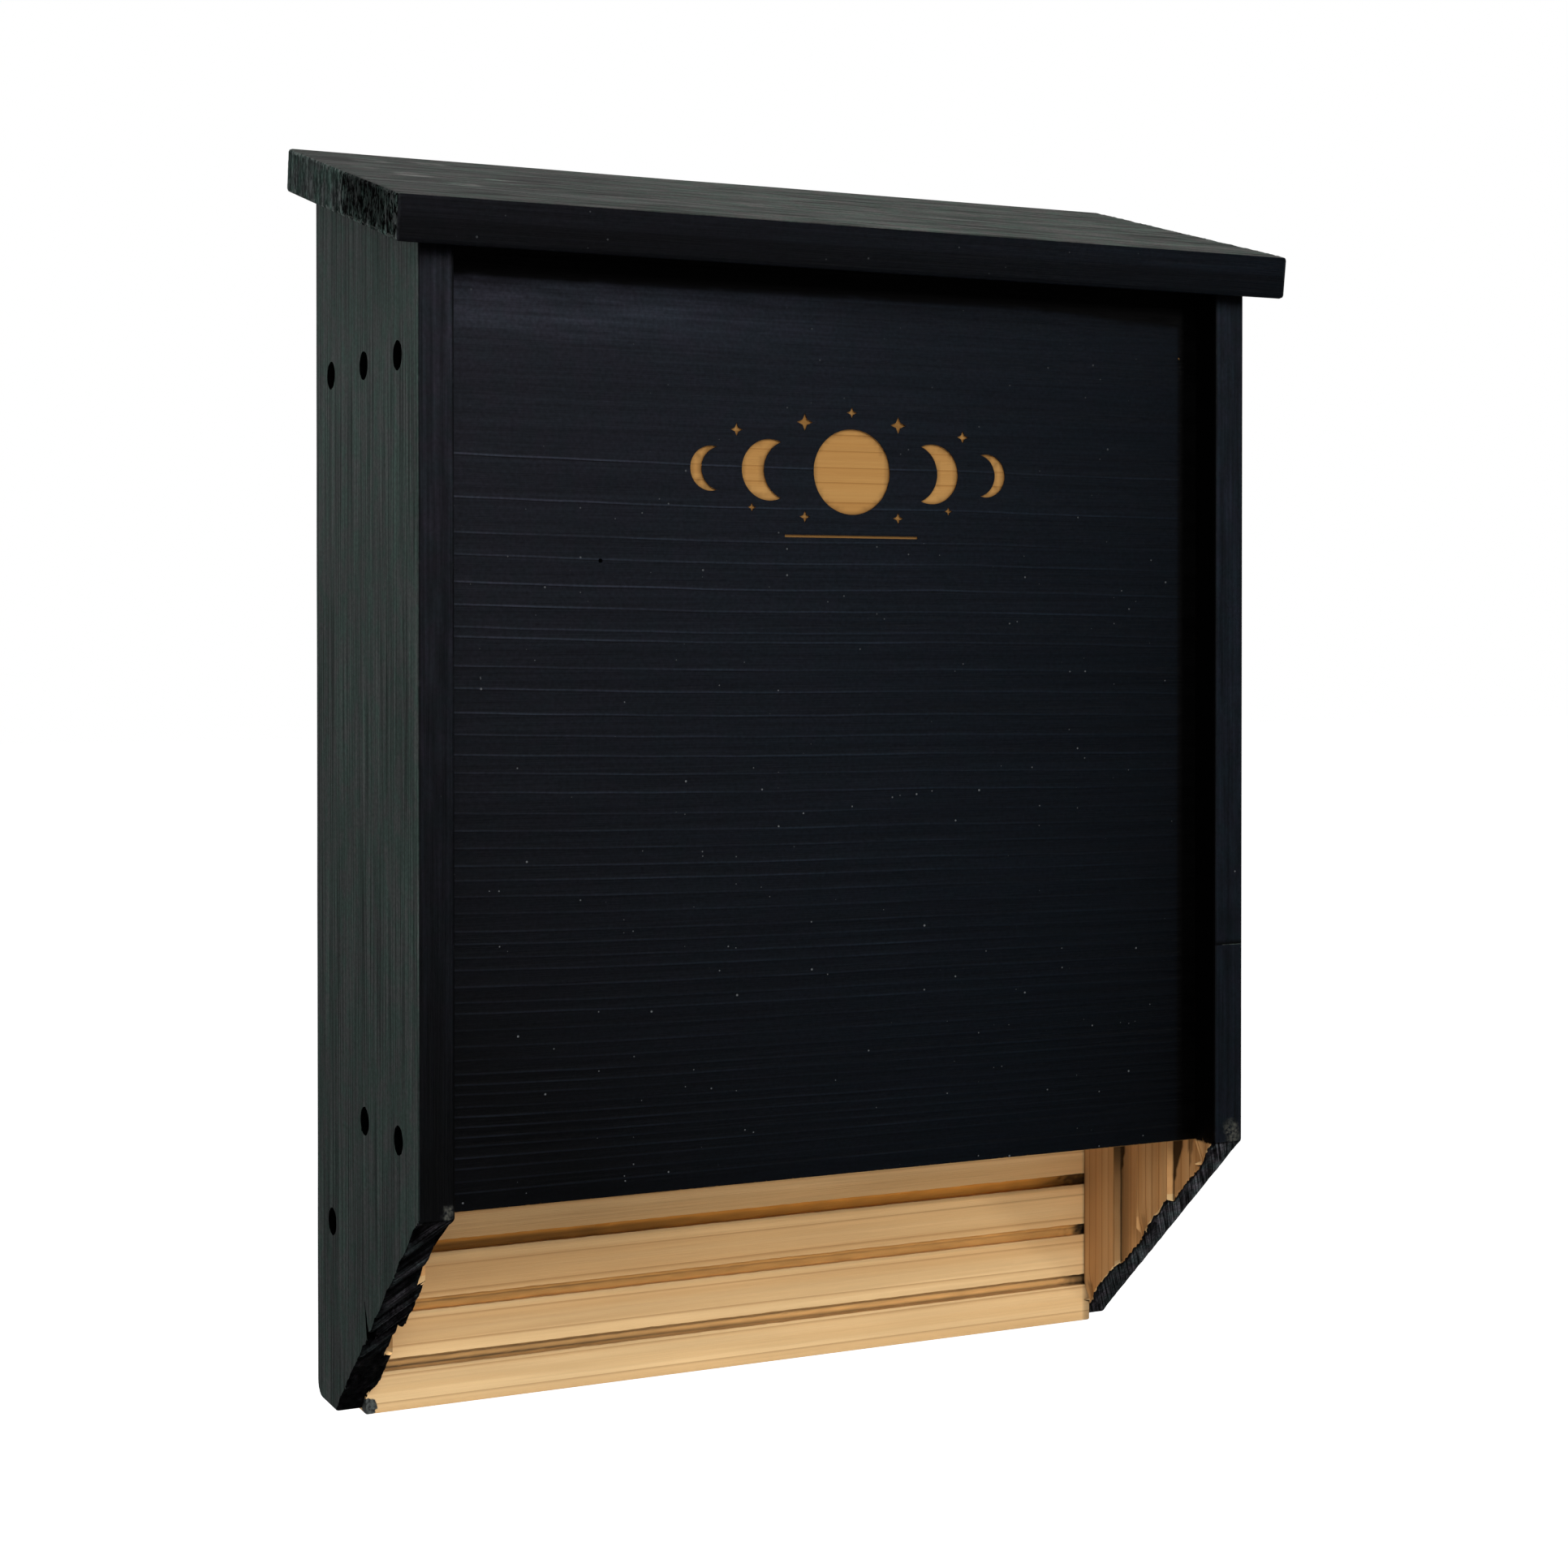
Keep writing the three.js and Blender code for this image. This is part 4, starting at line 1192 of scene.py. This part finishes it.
def makeBackBoard():
    front, rear = shared["boards"][0]
    foot = backBoard["foot"]
    piece, planes, end = crossBlank("back_board_bare", 0, foot)
    score(piece, (1, 0, 0), even(20 - end, end - 20, 5) + nearEnds(end))
    score(piece, (0, 0, 1), even(foot, -300, 2.3) + even(-300, 40, 10))
    score(piece, (0, 1, 0), even(front, rear, 4))

    def relief(x, y, z):
        if y > front + 0.05:
            return 0, 0, 0
        return 0, 0.12 * clamp(0.5 + wobble(x / 60, z / 2.2, 4)) + 0.1 * clamp(wobble(x / 80, z / 9, 1)), 0

    reshape(piece, relief)
    cutOut(piece, grooveBars(front, 1, grooves, end + 4))
    neck, head, run = backBoard["keyNeck"], backBoard["keyHead"], backBoard["keyRun"]
    lip, deepest, seat = rear - backBoard["keyLip"], rear - backBoard["keyDepth"], -backBoard["keyNeck"]
    cutOut(piece, drill(head, (0, rear + 2, seat - run), (0, deepest, seat - run)))
    cutOut(piece, blank("neck", (-neck, deepest, seat - run), (neck, rear + 2, seat)))
    cutOut(piece, drill(neck, (0, rear + 2, seat), (0, deepest, seat)))
    cutOut(piece, blank("channel", (-head + 0.01, deepest - 0.01, seat - run), (head - 0.01, lip, seat)))
    cutOut(piece, drill(head, (0, lip, seat), (0, deepest - 0.02, seat)))

    blobs = chipped(backBoard["blobs"])

    def inGroove(y):
        return front + 0.6 < y < front + 3.5

    def paintedLandingShade(x, z):  # what painted shade leaves of the wood's brightness: deepest at the upper left under the front board, with a dark joint line at the right end and faint bands
        level = 1 - (0.05 + 0.14 * soft(z, -357, -342)) * soft(x, 10, -80) * soft(z, -382, -366)
        level *= (1 + 0.15 * soft(z, -352, -340)) * (1 + 0.12 * soft(x, 40, 130) * soft(z, -368, -355))
        level *= 1 - 0.5 * soft(x, end - 3.6, end - 2.2)
        bands = 0.09 * soft(abs(z + 369.5), 5, 2) * soft(x, 110, 40)
        return level * (1 - bands - 0.1 * soft(abs(z + 385.5), 5, 2) * soft(x, 60, -60))

    def shade(x, y, z):
        tone, _, rim = grooveTone(x, z)
        if inGroove(y):
            reach, strength = backBoard["endShadows"].get(grooveAt(z), (5, 0.8))
            fringe = 0.4 * wobble(x / 2, z / 1.5, 4) if x > end - 20 else 0
            dark = strength * clamp(soft(x, end - 3 - reach, end - 4) + fringe)
            return tone * (1 + 0.2 * wobble(x / 9, z / 2, 1)) * paintedLandingShade(x, z) * (1 - dark)
        return (1 + 0.07 * wobble(x / 50, z / 6, 3)) * paintedLandingShade(x, z) * (rim if y < front + 0.6 else 1)

    def burn(x, y, z):
        return grooveTone(x, z)[1] if inGroove(y) else 0.2 * soft(z, -379, -352)

    values = {"gap": arrisGap(planes), "bare": lambda x, y, z: 1 - soft(blobs(x, y, z), 0, 0.4), "shade": shade,
              "scuff": lambda x, y, z: 1 if x < 0 and z < foot + 7 else 0, "burn": burn}
    finishBoard(piece, "back_board", "bare_wood", values, "bareAcross")


makeBackBoard()


# Baffle: bare and grooved on both faces
def makeBaffle():
    front, rear = shared["boards"][1]
    foot = shared["panelFoot"]
    piece, planes, end = crossBlank("middle_baffle_bare", 1, foot)
    score(piece, (1, 0, 0), even(-end, end, 8))
    score(piece, (0, 0, 1), even(foot, -270, 4) + even(-270, 35, 12))
    for face, inward in ((front, 1), (rear, -1)):
        cutOut(piece, grooveBars(face, inward, grooves[4:], end + 4))

    def inside(y, z):
        return front + 0.6 < y < rear - 0.6 and z > foot + 2

    def shade(x, y, z):
        return grooveTone(x, z)[0] if inside(y, z) else 0.95 + 0.06 * wobble(x / 50, z / 6, 3)

    values = {"gap": arrisGap(planes), "bare": lambda x, y, z: 1, "shade": shade,
              "burn": lambda x, y, z: grooveTone(x, z)[1] if inside(y, z) else 0.2}
    finishBoard(piece, "middle_baffle", "bare_wood", values, "bareAcross")


makeBaffle()

# Screws and nails keep their CAD forms under dark paint; the screws' coat is near black, painted shade for the
# deep bores they sit in
fastener = {
    "screw": {"paint": (0.0006, 0.0006, 0.0007), "steel": (0.004, 0.004, 0.0045), "roughness": 0.8},
    "nail": {"paint": (0.012, 0.014, 0.013), "steel": (0.10, 0.10, 0.105), "roughness": 0.5},
}


def fastenerFinish(name):
    values = fastener[name]
    material, tree, surface, _, inMm = newFinish(name + "Steel")
    patch = cloudy(tree, inMm, 1.1, 3)
    scraped = spread(tree, patch, 0.52, 0.66, 0, 1)
    tree.links.new(blend(tree, scraped, values["paint"], values["steel"]), surface["Base Color"])
    rough = spread(tree, patch, 0.3, 0.7, values["roughness"] - 0.1, values["roughness"] + 0.1)
    tree.links.new(rough, surface["Roughness"])
    bump = addNode(tree, "ShaderNodeBump", {"Strength": 0.4, "Distance": 0.0002, "Height": patch})
    tree.links.new(bump.outputs[0], surface["Normal"])
    surface["Specular IOR Level"].default_value = 0.03
    return material


screwSteel, nailSteel = fastenerFinish("screw"), fastenerFinish("nail")
for name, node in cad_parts.items():
    if name.startswith(("screw", "roof_nail")):
        node.data.materials.clear()
        node.data.materials.append(screwSteel if name.startswith("screw") else nailSteel)
print("screws and nails finished")
